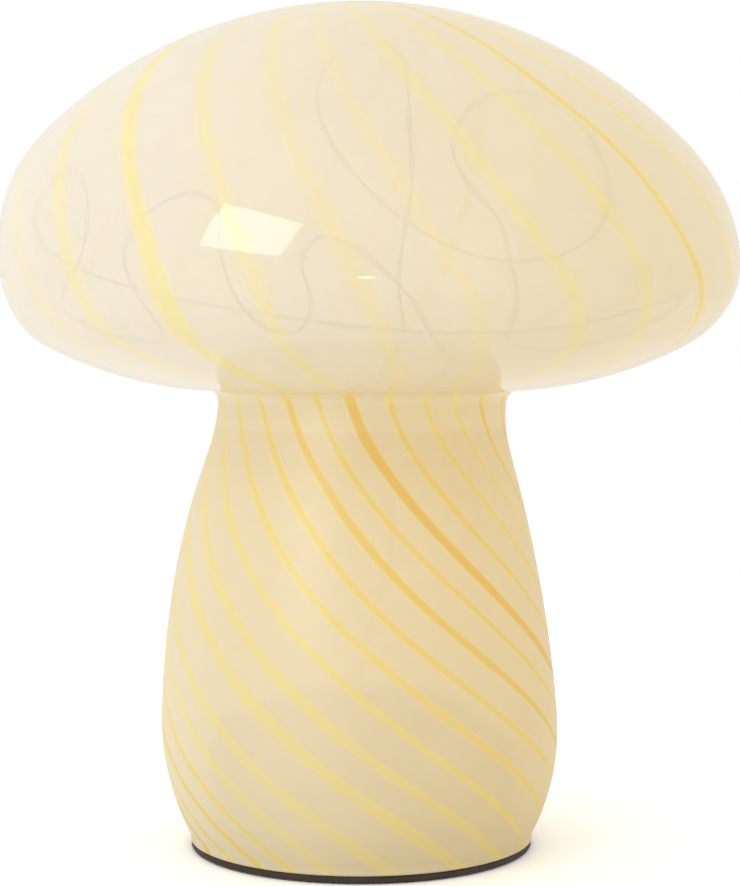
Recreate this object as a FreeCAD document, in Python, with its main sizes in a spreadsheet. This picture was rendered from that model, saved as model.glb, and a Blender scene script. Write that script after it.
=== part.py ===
"""Mushroom table lamp: one blown glass body over a battery base with an LED string.

The lamp stands on the XY plane with its axis on +Z. The front is at -Y. Sizes are in millimetres.
"""
import FreeCAD, Part
import math
import os

import Sketcher
from FreeCAD import Placement, Rotation, Vector

SIZES = {
    # glass: outline radii and levels, from the crown down to the foot
    "lamp_height": 229.5,
    "cap_rise": 69.5,
    "cap_radius": 99.9,
    "brow_arc": 46.5,
    "lip_arc": 26.0,
    "under_arc": 105.0,
    "neck_drop": 38.0,
    "neck_radius": 39.3,
    "neck_arc": 3.2,
    "shoulder_arc": 46.5,
    "belly_radius": 54.4,
    "belly_level": 33.7,
    "belly_arc": 60.0,
    "belly_turn": 2.84,
    "heel_arc": 63.5,
    "foot_inset": 7.4,
    "crease_arc": 3.0,
    "glass_wall": 3.0,
    # base plate and collar
    "foot_proud": 0.4,
    "plate_inset": 0.2,
    "plate_thick": 1.7,
    "plate_edge": 0.35,
    "collar_wall": 1.8,
    "collar_top": 10.0,
    "seal_width": 1.4,
    "seal_film": 0.2,
    "seal_top": 7.6,
    "seal_gap": 0.05,
    # twist-lock door
    "door_margin": 1.7,
    "door_gap": 0.3,
    "door_thick": 1.6,
    "door_turn": 18.0,
    "lug_wide": 7.0,
    "lug_out": 2.6,
    "lug_in": 2.0,
    "lug_lift": 0.3,
    "lug_thick": 1.2,
    "stop_thick": 1.7,
    "well_gap": 0.6,
    "well_wall": 1.5,
    "well_roof": 1.3,
    "coin_long": 16.0,
    "coin_wide": 2.4,
    "coin_deep": 0.8,
    # battery bay
    "cell_dia": 10.4,
    "cell_long": 43.4,
    "nub_dia": 3.8,
    "nub_long": 0.8,
    "cell_space": 0.4,
    "cell_lift": 0.3,
    "bay_side": 0.4,
    "bay_wall": 1.4,
    "bay_roof": 1.4,
    "spring_room": 5.2,
    "contact_thick": 0.4,
    "contact_wide": 8.4,
    "contact_high": 7.2,
    "tail_wide": 2.4,
    "tail_rise": 2.6,
    "tail_gap": 0.15,
    "cell_edge": 0.5,
    "spring_wire": 0.6,
    "spring_large": 3.0,
    "spring_small": 1.9,
    "spring_turns": 4.0,
    # timer board and switch
    "board_thick": 1.6,
    "board_gap": 1.6,
    "board_inset": 2.6,
    "board_half": 12.4,
    "board_screw_in": 3.6,
    "board_screw_side": 10.0,
    "board_boss": 2.2,
    "small_screw": 0.8,
    "small_head": 1.9,
    "small_head_high": 1.3,
    "small_screw_long": 5.2,
    "small_cross": 1.1,
    "small_cross_wide": 0.4,
    "small_cross_deep": 0.7,
    "hole_gap": 0.2,
    "chip_in": 3.6,
    "chip_long": 5.0,
    "chip_wide": 4.0,
    "chip_high": 1.4,
    "chip_lift": 0.15,
    "leg_pitch": 1.27,
    "leg_reach": 1.0,
    "leg_wide": 0.4,
    "leg_high": 0.5,
    "can_in": 1.6,
    "can_side": 7.4,
    "can_dia": 5.0,
    "can_long": 8.0,
    "can_lead": 0.5,
    "can_pitch": 2.3,
    "can_reach": 1.6,
    "resistor_in": 2.6,
    "resistor_side": -8.6,
    "resistor_long": 2.0,
    "resistor_wide": 1.25,
    "resistor_high": 0.5,
    "resistor_pitch": 3.2,
    "resistor_row": 2.4,
    "switch_inset": 2.2,
    "switch_lift": 0.4,
    "switch_long": 9.4,
    "switch_wide": 3.8,
    "switch_high": 3.6,
    "switch_shell": 0.6,
    "knob_long": 3.4,
    "knob_wide": 2.2,
    "knob_stem": 1.5,
    "knob_travel": 2.0,
    "knob_gap": 0.2,
    "slider_high": 1.6,
    "knob_depth": 0.3,
    "ridge_high": 0.2,
    "ridge_pitch": 0.85,
    "ridge_wide": 0.5,
    "finger_long": 14.0,
    "finger_wide": 6.4,
    "finger_deep": 0.8,
    # cover over the electronics
    "cover_inset": 0.6,
    "cover_wall": 1.6,
    "cover_shoulder": 27.0,
    "crown_inset": 15.0,
    "cover_top": 39.0,
    "cover_lip": 1.8,
    "cover_gap": 0.2,
    "boss_inset": 5.0,
    "boss_radius": 2.8,
    "boss_top": 22.0,
    "tube_radius": 4.2,
    "screw_shank": 1.25,
    "screw_head": 2.6,
    "screw_head_high": 1.8,
    "screw_long": 9.0,
    "screw_tip_gap": 1.0,
    "cross_long": 1.5,
    "cross_wide": 0.6,
    "cross_deep": 0.9,
    "head_gap": 0.4,
    "pilot_gap": 0.05,
    "outlet_radius": 4.0,
    "grommet_flange": 5.6,
    "grommet_side": 1.2,
    "grommet_bore": 0.65,
    "grommet_edge": 0.6,
    # feet
    "pad_radius": 3.5,
    "pad_inset": 8.3,
    "pad_sunk": 0.6,
    # LED string and leads
    "string_dia": 1.1,
    "bead_dia": 2.3,
    "bead_count": 18,
    "bead_first": 115.0,
    "chip_side": 0.7,
    "lead_dia": 1.2,
}

# Levels and places that follow from the sizes, as expressions on the sheet.
CAP_LEVEL = "(Size.lamp_height - Size.cap_rise)"
NECK_LEVEL = "(Size.lamp_height - Size.cap_rise - Size.neck_drop)"
FOOT_RADIUS = "(Size.belly_radius - Size.foot_inset)"
PLATE_RADIUS = "(%s - Size.plate_inset)" % FOOT_RADIUS
PLATE_LOW = "Size.foot_proud"
PLATE_TOP = "(Size.foot_proud + Size.plate_thick)"
GLASS_LOW = "(%s + Size.seal_film)" % PLATE_TOP
COLLAR_OUTER = "(%s - Size.glass_wall - Size.seal_width)" % FOOT_RADIUS
COLLAR_INNER = "(%s - Size.collar_wall)" % COLLAR_OUTER
BOSS_PLACE = "(%s - Size.boss_inset)" % COLLAR_INNER
PAD_CORNER = "(%s - Size.pad_inset) * sqrt(0.5)" % PLATE_RADIUS
PAD_TOP = "(Size.foot_proud + Size.pad_sunk)"
# the battery bay, and the door that the three cells pass through
CELL_PITCH = "(Size.cell_dia + Size.cell_space)"
CELL_AXIS = "(Size.foot_proud + Size.door_thick + Size.cell_lift + Size.cell_dia / 2)"
CELLS_HALF_X = "(1.5 * Size.cell_dia + Size.cell_space)"
CELLS_HALF_Y = "((Size.cell_long + Size.nub_long) / 2)"
BAY_HALF_X = "(%s + Size.bay_side)" % CELLS_HALF_X
BAY_HALF_Y = "(%s + Size.spring_room / 2 + Size.contact_thick)" % CELLS_HALF_Y
BAY_OUTER_X = "(%s + Size.bay_wall)" % BAY_HALF_X
BAY_OUTER_Y = "(%s + Size.bay_wall)" % BAY_HALF_Y
ROOF_LOW = "(Size.foot_proud + Size.door_thick + 2 * Size.cell_lift + Size.cell_dia)"
ROOF_TOP = "(%s + Size.bay_roof)" % ROOF_LOW
DOOR_RADIUS = "(hypot(%s; %s) + Size.door_margin)" % (CELLS_HALF_X, CELLS_HALF_Y)
DOOR_TOP = "(Size.foot_proud + Size.door_thick)"
LUG_INNER = "(%s - Size.lug_in)" % DOOR_RADIUS
LUG_REACH = "(%s + Size.lug_out)" % DOOR_RADIUS
LUG_LOW = "(%s + Size.lug_lift)" % PLATE_TOP
LUG_TOP = "(%s + Size.lug_thick)" % LUG_LOW
FLANGE_LOW = "(%s + Size.lug_lift)" % LUG_TOP
CONTACT_LOW = FLANGE_LOW
WELL_INNER = "(%s + Size.well_gap)" % LUG_REACH
WELL_OUTER = "(%s + Size.well_wall)" % WELL_INNER
WELL_TOP = "(%s + Size.well_roof)" % FLANGE_LOW
# the timer board between the bay and the collar, with the switch under its outer edge
SWITCH_LOW = "(%s + Size.switch_lift)" % PLATE_TOP
BOARD_LOW = "(%s + Size.switch_high)" % SWITCH_LOW
BOARD_TOP = "(%s + Size.board_thick)" % BOARD_LOW
BOARD_NEAR = "(%s + Size.board_gap)" % BAY_OUTER_X
BOARD_FAR = "(%s - Size.board_inset)" % COLLAR_INNER
BOARD_SCREW_X = "(%s - Size.board_screw_in)" % BOARD_FAR
SWITCH_PLACE = "(%s - Size.switch_inset)" % BOARD_FAR
SLOT_HALF = "(Size.knob_long / 2 + Size.knob_travel + Size.knob_gap)"
# the cover and its screws
COVER_OUTER = "(%s - Size.cover_inset)" % COLLAR_OUTER
COVER_CROWN = "(%s - Size.crown_inset)" % COVER_OUTER
TUBE_FLOOR = "(Size.boss_top + Size.cover_gap)"
HEAD_SEAT = "(%s + Size.cover_wall)" % TUBE_FLOOR

doc = FreeCAD.newDocument("MushroomLamp")
sheet = doc.addObject("Spreadsheet::Sheet", "Size")
for row, (alias, number) in enumerate(SIZES.items(), start=1):
    sheet.set("A%d" % row, alias)
    sheet.set("B%d" % row, str(number))
    sheet.setAlias("B%d" % row, alias)
doc.recompute()

SUBPARTS = []
# How near two lengths or points lie to count as the same.
NEAR = 0.01


def num(expression):
    """The value of an expression on the sheet, as a plain number."""
    return float(sheet.evalExpression(expression))


# ---------------------------------------------------------------- sketch and feature helpers

def either_side(place, half):
    """The expressions half below and half above a place."""
    return "%s - %s" % (place, half), "%s + %s" % (place, half)


def centred(half_x, half_y):
    """The corners of a rectangle about the lamp's axis."""
    return "-" + half_x, "-" + half_y, half_x, half_y


def new_body(label):
    body = doc.addObject("PartDesign::Body", label)
    body.Label = label
    SUBPARTS.append(body)
    return body


def origin_feature(body, role):
    return next(item for item in body.Origin.OriginFeatures if item.Role == role)


def new_sketch(body, name, role="XY_Plane", lift="0", turn="0"):
    """A sketch on one of the body's origin planes, lifted along its normal and turned about it."""
    sketch = body.newObject("Sketcher::SketchObject", name)
    sketch.AttachmentSupport = (origin_feature(body, role), [""])
    sketch.MapMode = "FlatFace"
    sketch.AttachmentOffset = Placement(Vector(0, 0, 0), Rotation(Vector(0, 0, 1), 1))
    sketch.setExpression("AttachmentOffset.Base.z", lift)
    sketch.setExpression("AttachmentOffset.Rotation.Angle", turn)
    return sketch


def dimension(sketch, constraint, expression):
    index = sketch.addConstraint(constraint)
    sketch.setExpression("Constraints[%d]" % index, expression)


def locate(sketch, item, point, across, up):
    """Tie a point of the sketch to its origin by two expressions."""
    dimension(sketch, Sketcher.Constraint("DistanceX", -1, 1, item, point, num(across)), across)
    dimension(sketch, Sketcher.Constraint("DistanceY", -1, 1, item, point, num(up)), up)


def add_circle(sketch, across, up, radius):
    centre = Vector(num(across), num(up), 0)
    item = sketch.addGeometry(Part.Circle(centre, Vector(0, 0, 1), num(radius)))
    locate(sketch, item, 3, across, up)
    dimension(sketch, Sketcher.Constraint("Radius", item, num(radius)), radius)


def add_polygon(sketch, corners):
    """A closed outline of straight lines whose corners are pairs of expressions."""
    points = [Vector(num(across), num(up), 0) for across, up in corners]
    items = []
    for start, end in zip(points, points[1:] + points[:1]):
        items.append(sketch.addGeometry(Part.LineSegment(start, end)))
    for item, following in zip(items, items[1:] + items[:1]):
        sketch.addConstraint(Sketcher.Constraint("Coincident", item, 2, following, 1))
    for item, (across, up) in zip(items, corners):
        locate(sketch, item, 1, across, up)


def add_rectangle(sketch, low_x, low_y, high_x, high_y):
    add_polygon(sketch, [(low_x, low_y), (high_x, low_y), (high_x, high_y), (low_x, high_y)])


def add_pad(body, sketch, length):
    pad = body.newObject("PartDesign::Pad", "Pad")
    pad.Profile = sketch
    pad.setExpression("Length", length)
    sketch.Visibility = False
    return pad


def add_pocket(body, sketch, depth):
    """Cut upward from the sketch by depth."""
    pocket = body.newObject("PartDesign::Pocket", "Pocket")
    pocket.Profile = sketch
    pocket.Reversed = True
    pocket.setExpression("Length", depth)
    sketch.Visibility = False
    return pocket


def add_revolution(body, sketch):
    turned = body.newObject("PartDesign::Revolution", "Revolution")
    turned.Profile = sketch
    turned.ReferenceAxis = (sketch, ["V_Axis"])
    turned.Angle = 360.0
    sketch.Visibility = False
    return turned


def add_polar(body, features, count, sweep=360.0):
    """Repeat features about the lamp's axis; a sweep under a full turn includes both ends."""
    pattern = body.newObject("PartDesign::PolarPattern", "PolarPattern")
    pattern.Originals = features
    pattern.Axis = (origin_feature(body, "Z_Axis"), [""])
    pattern.Angle = sweep
    pattern.Occurrences = count
    body.Tip = pattern
    return pattern


def circle_pad(body, radius, low, high, across="0", up="0"):
    sketch = new_sketch(body, "Disc", lift=low)
    add_circle(sketch, across, up, radius)
    return add_pad(body, sketch, "%s - %s" % (high, low))


def ring_pad(body, inner, outer, low, high):
    sketch = new_sketch(body, "Ring", lift=low)
    add_circle(sketch, "0", "0", outer)
    add_circle(sketch, "0", "0", inner)
    return add_pad(body, sketch, "%s - %s" % (high, low))


def circle_pocket(body, radius, low, high, across="0", up="0"):
    sketch = new_sketch(body, "Hole", lift=low)
    add_circle(sketch, across, up, radius)
    return add_pocket(body, sketch, "%s - %s" % (high, low))


def rectangle_pad(body, corners, low, high, turn="0"):
    sketch = new_sketch(body, "Block", lift=low, turn=turn)
    add_rectangle(sketch, *corners)
    return add_pad(body, sketch, "%s - %s" % (high, low))


def rectangle_pocket(body, corners, low, high, turn="0"):
    sketch = new_sketch(body, "Cut", lift=low, turn=turn)
    add_rectangle(sketch, *corners)
    return add_pocket(body, sketch, "%s - %s" % (high, low))


def round_edges(body, base, radius, wanted):
    """Fillet the edges of the base feature that the test picks out."""
    doc.recompute()
    names = []
    for index, edge in enumerate(base.Shape.Edges, start=1):
        if wanted(edge):
            names.append("Edge%d" % index)
    fillet = body.newObject("PartDesign::Fillet", "Fillet")
    fillet.Base = (base, names)
    fillet.setExpression("Radius", radius)
    return fillet


def is_rim(edge, radius, level):
    """Whether an edge is the circle of that radius about the lamp's axis at that level."""
    curve = edge.Curve
    if not isinstance(curve, Part.Circle):
        return False
    centre = curve.Center
    on_axis = math.hypot(centre.x, centre.y) < NEAR
    return on_axis and abs(curve.Radius - radius) < NEAR and abs(centre.z - level) < NEAR


def block(name, low, spans):
    """A Part box from its low corner and its three lengths, all expressions."""
    box = doc.addObject("Part::Box", name)
    for side, span in zip(("Length", "Width", "Height"), spans):
        box.setExpression(side, span)
    for axis, place in zip("xyz", low):
        box.setExpression("Placement.Base.%s" % axis, place)
    return box


def join(label, solids):
    fused = doc.addObject("Part::MultiFuse", label)
    fused.Label = label
    fused.Shapes = solids
    fused.Refine = True
    SUBPARTS.append(fused)
    return fused


def cut(label, base, tool):
    result = doc.addObject("Part::Cut", label)
    result.Label = label
    result.Base = base
    result.Tool = tool
    return result


def shape_feature(label, shape):
    feature = doc.addObject("Part::Feature", label)
    feature.Label = label
    feature.Shape = shape
    feature.Placement = Placement()
    SUBPARTS.append(feature)
    return feature


# ---------------------------------------------------------------- glass body

def meet(first, first_reach, second, second_reach, better):
    """The point at the given distances from two points; better(point) picks one of the two."""
    line = second - first
    span = line.Length
    along = (first_reach ** 2 - second_reach ** 2 + span ** 2) / (2 * span)
    aside = math.sqrt(first_reach ** 2 - along ** 2)
    unit = Vector(line).normalize()
    normal = Vector(-unit.y, unit.x, 0)
    choices = (first + unit * along + normal * aside, first + unit * along - normal * aside)
    return max(choices, key=better)


def inside_touch(centre, radius, other, other_radius):
    """Where two arcs touch that have their centres on the same side."""
    if radius > other_radius:
        return centre + Vector(other - centre).normalize() * radius
    return other + Vector(centre - other).normalize() * other_radius


def outside_touch(centre, radius, other):
    return centre + Vector(other - centre).normalize() * radius


def glass_outline(inset):
    """Centres, radii and joints of the outline's arcs, from the crown down to the foot.

    The outline is set in from the outer surface by inset, so every arc keeps its centre.
    """
    top = Vector(0, num("Size.lamp_height") - inset, 0)
    widest = Vector(num("Size.cap_radius") - inset, num(CAP_LEVEL), 0)
    brow_arc = num("Size.brow_arc") - inset
    brow = widest - Vector(brow_arc, 0, 0)
    rise = top.y - brow.y
    crown_arc = (brow.x ** 2 + rise ** 2 - brow_arc ** 2) / (2 * (rise - brow_arc))
    crown = top - Vector(0, crown_arc, 0)
    lip_arc = num("Size.lip_arc") - inset
    lip = widest - Vector(lip_arc, 0, 0)
    neck = Vector(num("Size.neck_radius") - inset, num(NECK_LEVEL), 0)
    neck_arc = num("Size.neck_arc") + inset
    neck_centre = neck + Vector(neck_arc, 0, 0)
    under_arc = num("Size.under_arc") - inset
    under = meet(lip, under_arc - lip_arc, neck_centre, under_arc + neck_arc, lambda spot: spot.y)
    shoulder_arc = num("Size.shoulder_arc") + inset
    shoulder = neck + Vector(shoulder_arc, 0, 0)
    belly = Vector(num("Size.belly_radius") - inset, num("Size.belly_level"), 0)
    belly_arc = num("Size.belly_arc") - inset
    belly_centre = belly - Vector(belly_arc, 0, 0)
    turn = math.radians(num("Size.belly_turn"))
    outward = Vector(math.cos(turn), math.sin(turn), 0)
    belly_end = belly_centre + outward * belly_arc
    gap = belly_end - shoulder
    side_arc = (gap.dot(gap) - shoulder_arc ** 2) / (2 * (shoulder_arc + gap.dot(outward)))
    side = belly_end - outward * side_arc
    heel_arc = num("Size.heel_arc") - inset
    heel = belly - Vector(heel_arc, 0, 0)
    crease_arc = num("Size.crease_arc") + inset
    foot = num(FOOT_RADIUS) - inset
    crease_drop = math.sqrt((heel_arc + crease_arc) ** 2 - (foot + crease_arc - heel.x) ** 2)
    crease = Vector(foot + crease_arc, heel.y - crease_drop, 0)
    centres = [crown, brow, lip, under, neck_centre, shoulder, side, belly_centre, heel, crease]
    radii = [crown_arc, brow_arc, lip_arc, under_arc, neck_arc, shoulder_arc, side_arc, belly_arc, heel_arc,
             crease_arc]
    joints = [
        top,
        inside_touch(crown, crown_arc, brow, brow_arc),
        widest,
        inside_touch(lip, lip_arc, under, under_arc),
        outside_touch(under, under_arc, neck_centre),
        neck,
        outside_touch(shoulder, shoulder_arc, side),
        belly_end,
        belly,
        outside_touch(heel, heel_arc, crease),
        Vector(foot, crease.y, 0),
    ]
    return centres, radii, joints


# The arcs in order: the cell with the outer radius, and whether the wall's inner side is tighter or wider.
# The crown and the side follow from their neighbours, so they have no radius of their own.
ARC_SIZES = [
    (None, None),
    ("brow_arc", "-"),
    ("lip_arc", "-"),
    ("under_arc", "-"),
    ("neck_arc", "+"),
    ("shoulder_arc", "+"),
    (None, None),
    ("belly_arc", "-"),
    ("heel_arc", "-"),
    ("crease_arc", "+"),
]
# The joints that lie at a widest or narrowest level, by the arc that ends there.
LEVEL_JOINTS = {
    1: ("Size.cap_radius", CAP_LEVEL),
    4: ("Size.neck_radius", NECK_LEVEL),
    7: ("Size.belly_radius", "Size.belly_level"),
}
# The arc that ends where the belly begins.
SIDE = 6


def end_at(sketch, item, spot):
    """Which end of an arc of the sketch lies at the spot: 1 for its start, 2 for its end."""
    return 1 if (sketch.getPoint(item, 1) - spot).Length < NEAR else 2


def glass_sketch(body, name, inset):
    """The closed half section under the outline that is set in from the outer surface by inset."""
    sketch = new_sketch(body, name, role="XZ_Plane")
    centres, radii, joints = glass_outline(num(inset))
    for centre, radius, start, end in zip(centres, radii, joints, joints[1:]):
        middle = ((start - centre).normalize() + (end - centre).normalize()).normalize()
        sketch.addGeometry(Part.Arc(start, centre + middle * radius, end))
    foot = Vector(joints[-1].x, num(GLASS_LOW), 0)
    hub = Vector(0, num(GLASS_LOW), 0)
    foot_line = sketch.addGeometry(Part.LineSegment(joints[-1], foot))
    bottom_line = sketch.addGeometry(Part.LineSegment(foot, hub))
    axis_line = sketch.addGeometry(Part.LineSegment(hub, joints[0]))
    last = len(radii) - 1
    for arc in range(last):
        here = end_at(sketch, arc, joints[arc + 1])
        there = end_at(sketch, arc + 1, joints[arc + 1])
        if arc in LEVEL_JOINTS:
            across, level = LEVEL_JOINTS[arc]
            sketch.addConstraint(Sketcher.Constraint("Coincident", arc, here, arc + 1, there))
            locate(sketch, arc, here, "%s - %s" % (across, inset), level)
            sketch.addConstraint(Sketcher.Constraint("Horizontal", arc, 3, arc, here))
            sketch.addConstraint(Sketcher.Constraint("Horizontal", arc + 1, 3, arc, here))
        else:
            sketch.addConstraint(Sketcher.Constraint("Tangent", arc, here, arc + 1, there))
    for arc, (size, sign) in enumerate(ARC_SIZES):
        if size:
            radius = "Size.%s %s %s" % (size, sign, inset)
            dimension(sketch, Sketcher.Constraint("Radius", arc, radii[arc]), radius)
    belly_end = "Size.belly_level + (Size.belly_arc - %s) * sin(Size.belly_turn)" % inset
    here = end_at(sketch, SIDE, joints[SIDE + 1])
    dimension(sketch, Sketcher.Constraint("DistanceY", -1, 1, SIDE, here, num(belly_end)), belly_end)
    foot_end = end_at(sketch, last, joints[-1])
    sketch.addConstraint(Sketcher.Constraint("Coincident", last, foot_end, foot_line, 1))
    sketch.addConstraint(Sketcher.Constraint("Horizontal", last, 3, foot_line, 1))
    sketch.addConstraint(Sketcher.Constraint("Vertical", foot_line))
    sketch.addConstraint(Sketcher.Constraint("Coincident", foot_line, 2, bottom_line, 1))
    sketch.addConstraint(Sketcher.Constraint("Coincident", bottom_line, 2, axis_line, 1))
    locate(sketch, foot_line, 2, "%s - %s" % (FOOT_RADIUS, inset), GLASS_LOW)
    locate(sketch, bottom_line, 2, "0", GLASS_LOW)
    sketch.addConstraint(Sketcher.Constraint("Coincident", axis_line, 2, 0, end_at(sketch, 0, joints[0])))
    locate(sketch, axis_line, 2, "0", "Size.lamp_height - %s" % inset)
    sketch.addConstraint(Sketcher.Constraint("PointOnObject", 0, 3, -2))
    return sketch


def make_glass_body():
    body = new_body("glass_body")
    outer = add_revolution(body, glass_sketch(body, "Outside", "0"))
    doc.recompute()
    hollow = body.newObject("PartDesign::Groove", "Hollow")
    inside = glass_sketch(body, "Inside", "Size.glass_wall")
    hollow.Profile = inside
    hollow.ReferenceAxis = (inside, ["V_Axis"])
    hollow.Angle = 360.0
    doc.recompute()
    if body.Shape.Volume > 0.5 * outer.Shape.Volume:
        raise RuntimeError("the glass body isn't hollow")


# ---------------------------------------------------------------- base

def lug_corners(grow, reach):
    """The plan of a door lug along +X out to its reach, grown on each side."""
    half = "(Size.lug_wide / 2 + %s)" % grow
    return LUG_INNER, "-" + half, reach, half


def make_base_housing():
    body = new_body("base_housing")
    plate = circle_pad(body, PLATE_RADIUS, PLATE_LOW, PLATE_TOP)
    radius = num(PLATE_RADIUS)
    rims = (num(PLATE_LOW), num(PLATE_TOP))
    round_edges(body, plate, "Size.plate_edge", lambda edge: any(is_rim(edge, radius, z) for z in rims))
    ring_pad(body, COLLAR_INNER, COLLAR_OUTER, PLATE_TOP, "Size.collar_top")
    ring_pad(body, WELL_INNER, WELL_OUTER, PLATE_TOP, WELL_TOP)
    circle_pad(body, WELL_OUTER, FLANGE_LOW, WELL_TOP)
    rectangle_pad(body, centred(BAY_OUTER_X, BAY_OUTER_Y), FLANGE_LOW, ROOF_TOP)
    rectangle_pocket(body, centred(BAY_HALF_X, BAY_HALF_Y), FLANGE_LOW, ROOF_LOW)
    # door opening, with three notches that let the lugs through when the door is turned
    circle_pocket(body, "(%s + Size.door_gap)" % DOOR_RADIUS, PLATE_LOW, PLATE_TOP)
    notch = rectangle_pocket(body, lug_corners("Size.door_gap", "(%s + Size.door_gap)" % LUG_REACH),
                             PLATE_LOW, PLATE_TOP, turn="90 + Size.door_turn")
    add_polar(body, [notch], 3)
    # stops at the locked end of the lugs' path
    stop_start = "(%s + 2 * Size.door_gap)" % DOOR_RADIUS
    stop_near = "-(Size.lug_wide / 2 + Size.door_gap)"
    stop_far = "-(Size.lug_wide / 2 + Size.door_gap + Size.stop_thick)"
    stop = rectangle_pad(body, (stop_start, stop_far, WELL_OUTER, stop_near), PLATE_TOP, WELL_TOP, turn="90")
    add_polar(body, [stop], 3)
    # slots in the bay roof for the two tails
    for x_side, y_side in ((-1, 1), (1, -1)):
        place_x = "(%d * %s)" % (x_side, CELL_PITCH)
        wall_y = "(%d * (%s - Size.contact_thick / 2))" % (y_side, BAY_HALF_Y)
        low_x, high_x = either_side(place_x, "(Size.tail_wide / 2 + Size.tail_gap)")
        low_y, high_y = either_side(wall_y, "(Size.contact_thick / 2 + Size.tail_gap)")
        rectangle_pocket(body, (low_x, low_y, high_x, high_y), ROOF_LOW, ROOF_TOP)
    # bosses for the timer board, then for the cover
    for side in (-1, 1):
        up = "%d * Size.board_screw_side" % side
        circle_pad(body, "Size.board_boss", PLATE_TOP, BOARD_LOW, BOARD_SCREW_X, up)
        circle_pocket(body, "Size.small_screw + Size.pilot_gap", PLATE_TOP, BOARD_LOW, BOARD_SCREW_X, up)
    boss = circle_pad(body, "Size.boss_radius", PLATE_TOP, "Size.boss_top", "0", BOSS_PLACE)
    add_polar(body, [boss], 3, 180.0)
    pilot = circle_pocket(body, "Size.screw_shank + Size.pilot_gap", "(Size.boss_top - Size.screw_long)",
                          "Size.boss_top", "0", BOSS_PLACE)
    add_polar(body, [pilot], 3, 180.0)
    # finger well and slot of the switch, and the recesses of the feet
    low_x, high_x = either_side(SWITCH_PLACE, "Size.finger_wide / 2")
    rectangle_pocket(body, (low_x, "-Size.finger_long / 2", high_x, "Size.finger_long / 2"),
                     PLATE_LOW, "(%s + Size.finger_deep)" % PLATE_LOW)
    low_x, high_x = either_side(SWITCH_PLACE, "(Size.knob_stem / 2 + Size.knob_gap)")
    rectangle_pocket(body, (low_x, "-" + SLOT_HALF, high_x, SLOT_HALF), PLATE_LOW, PLATE_TOP)
    recess = circle_pocket(body, "Size.pad_radius", PLATE_LOW, PAD_TOP, PAD_CORNER, PAD_CORNER)
    add_polar(body, [recess], 4)


def make_rubber_feet():
    body = new_body("rubber_feet")
    pad = circle_pad(body, "(Size.pad_radius - Size.pilot_gap)", "0", PAD_TOP, PAD_CORNER, PAD_CORNER)
    add_polar(body, [pad], 4)


def make_foot_seal():
    """A thin film under the glass foot and a bead between the foot and the collar."""
    body = new_body("foot_seal")
    sketch = new_sketch(body, "Section", role="XZ_Plane")
    inner = "(%s + Size.seal_gap)" % COLLAR_OUTER
    outer = "(%s - Size.glass_wall - Size.seal_gap)" % FOOT_RADIUS
    edge = "(%s - Size.plate_edge)" % PLATE_RADIUS
    add_polygon(sketch, [(inner, PLATE_TOP), (edge, PLATE_TOP), (edge, GLASS_LOW), (outer, GLASS_LOW),
                         (outer, "Size.seal_top"), (inner, "Size.seal_top")])
    add_revolution(body, sketch)


def make_battery_door():
    body = new_body("battery_door")
    circle_pad(body, DOOR_RADIUS, PLATE_LOW, DOOR_TOP)
    root = "(%s - Size.door_gap)" % DOOR_RADIUS
    post = rectangle_pad(body, lug_corners("0", root), DOOR_TOP, LUG_LOW, turn="90")
    tongue = rectangle_pad(body, lug_corners("0", LUG_REACH), LUG_LOW, LUG_TOP, turn="90")
    add_polar(body, [post, tongue], 3)
    rectangle_pocket(body, centred("Size.coin_long / 2", "Size.coin_wide / 2"), PLATE_LOW,
                     "(%s + Size.coin_deep)" % PLATE_LOW)


# ---------------------------------------------------------------- battery bay

CELLS = (("cell_left", -1, 1), ("cell_middle", 0, -1), ("cell_right", 1, 1))


def make_cells():
    """Each cell lies along Y; its plus end points to the side given with its name."""
    for label, column, plus in CELLS:
        body = new_body(label)
        sketch = new_sketch(body, "Section", role="XZ_Plane")
        add_polygon(sketch, [("0", "0"), ("Size.cell_dia / 2", "0"), ("Size.cell_dia / 2", "Size.cell_long"),
                             ("Size.nub_dia / 2", "Size.cell_long"),
                             ("Size.nub_dia / 2", "Size.cell_long + Size.nub_long"),
                             ("0", "Size.cell_long + Size.nub_long")])
        turned = add_revolution(body, sketch)
        rim = num("Size.cell_dia / 2")
        levels = (0.0, num("Size.cell_long"))
        round_edges(body, turned, "Size.cell_edge", lambda edge: any(is_rim(edge, rim, z) for z in levels))
        body.Placement = Placement(Vector(0, 0, 0), Rotation(Vector(1, 0, 0), -90 * plus))
        start = "(%s - Size.contact_thick - Size.spring_room)" % BAY_HALF_Y
        body.setExpression("Placement.Base.x", "%d * %s" % (column, CELL_PITCH))
        body.setExpression("Placement.Base.y", "%d * %s" % (-plus, start))
        body.setExpression("Placement.Base.z", CELL_AXIS)


def contact_plate(name, first, last, end):
    """A contact plate across columns first to last, on the bay's end wall at the +Y or -Y end.

    It starts where the wall does, so the door's lugs pass below it.
    """
    low_x = "%d * %s - Size.contact_wide / 2" % (first, CELL_PITCH)
    span_x = "%d * %s + Size.contact_wide" % (last - first, CELL_PITCH)
    low_y = "%s - Size.contact_thick" % BAY_HALF_Y if end > 0 else "-%s" % BAY_HALF_Y
    return block(name, (low_x, low_y, CONTACT_LOW), (span_x, "Size.contact_thick", "Size.contact_high"))


def contact_tail(name, column, end):
    low_x = "%d * %s - Size.tail_wide / 2" % (column, CELL_PITCH)
    low_y = "%s - Size.contact_thick" % BAY_HALF_Y if end > 0 else "-%s" % BAY_HALF_Y
    top = "(%s + Size.tail_rise)" % ROOF_TOP
    return block(name, (low_x, low_y, CELL_AXIS), ("Size.tail_wide", "Size.contact_thick",
                                                   "%s - %s" % (top, CELL_AXIS)))


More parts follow.
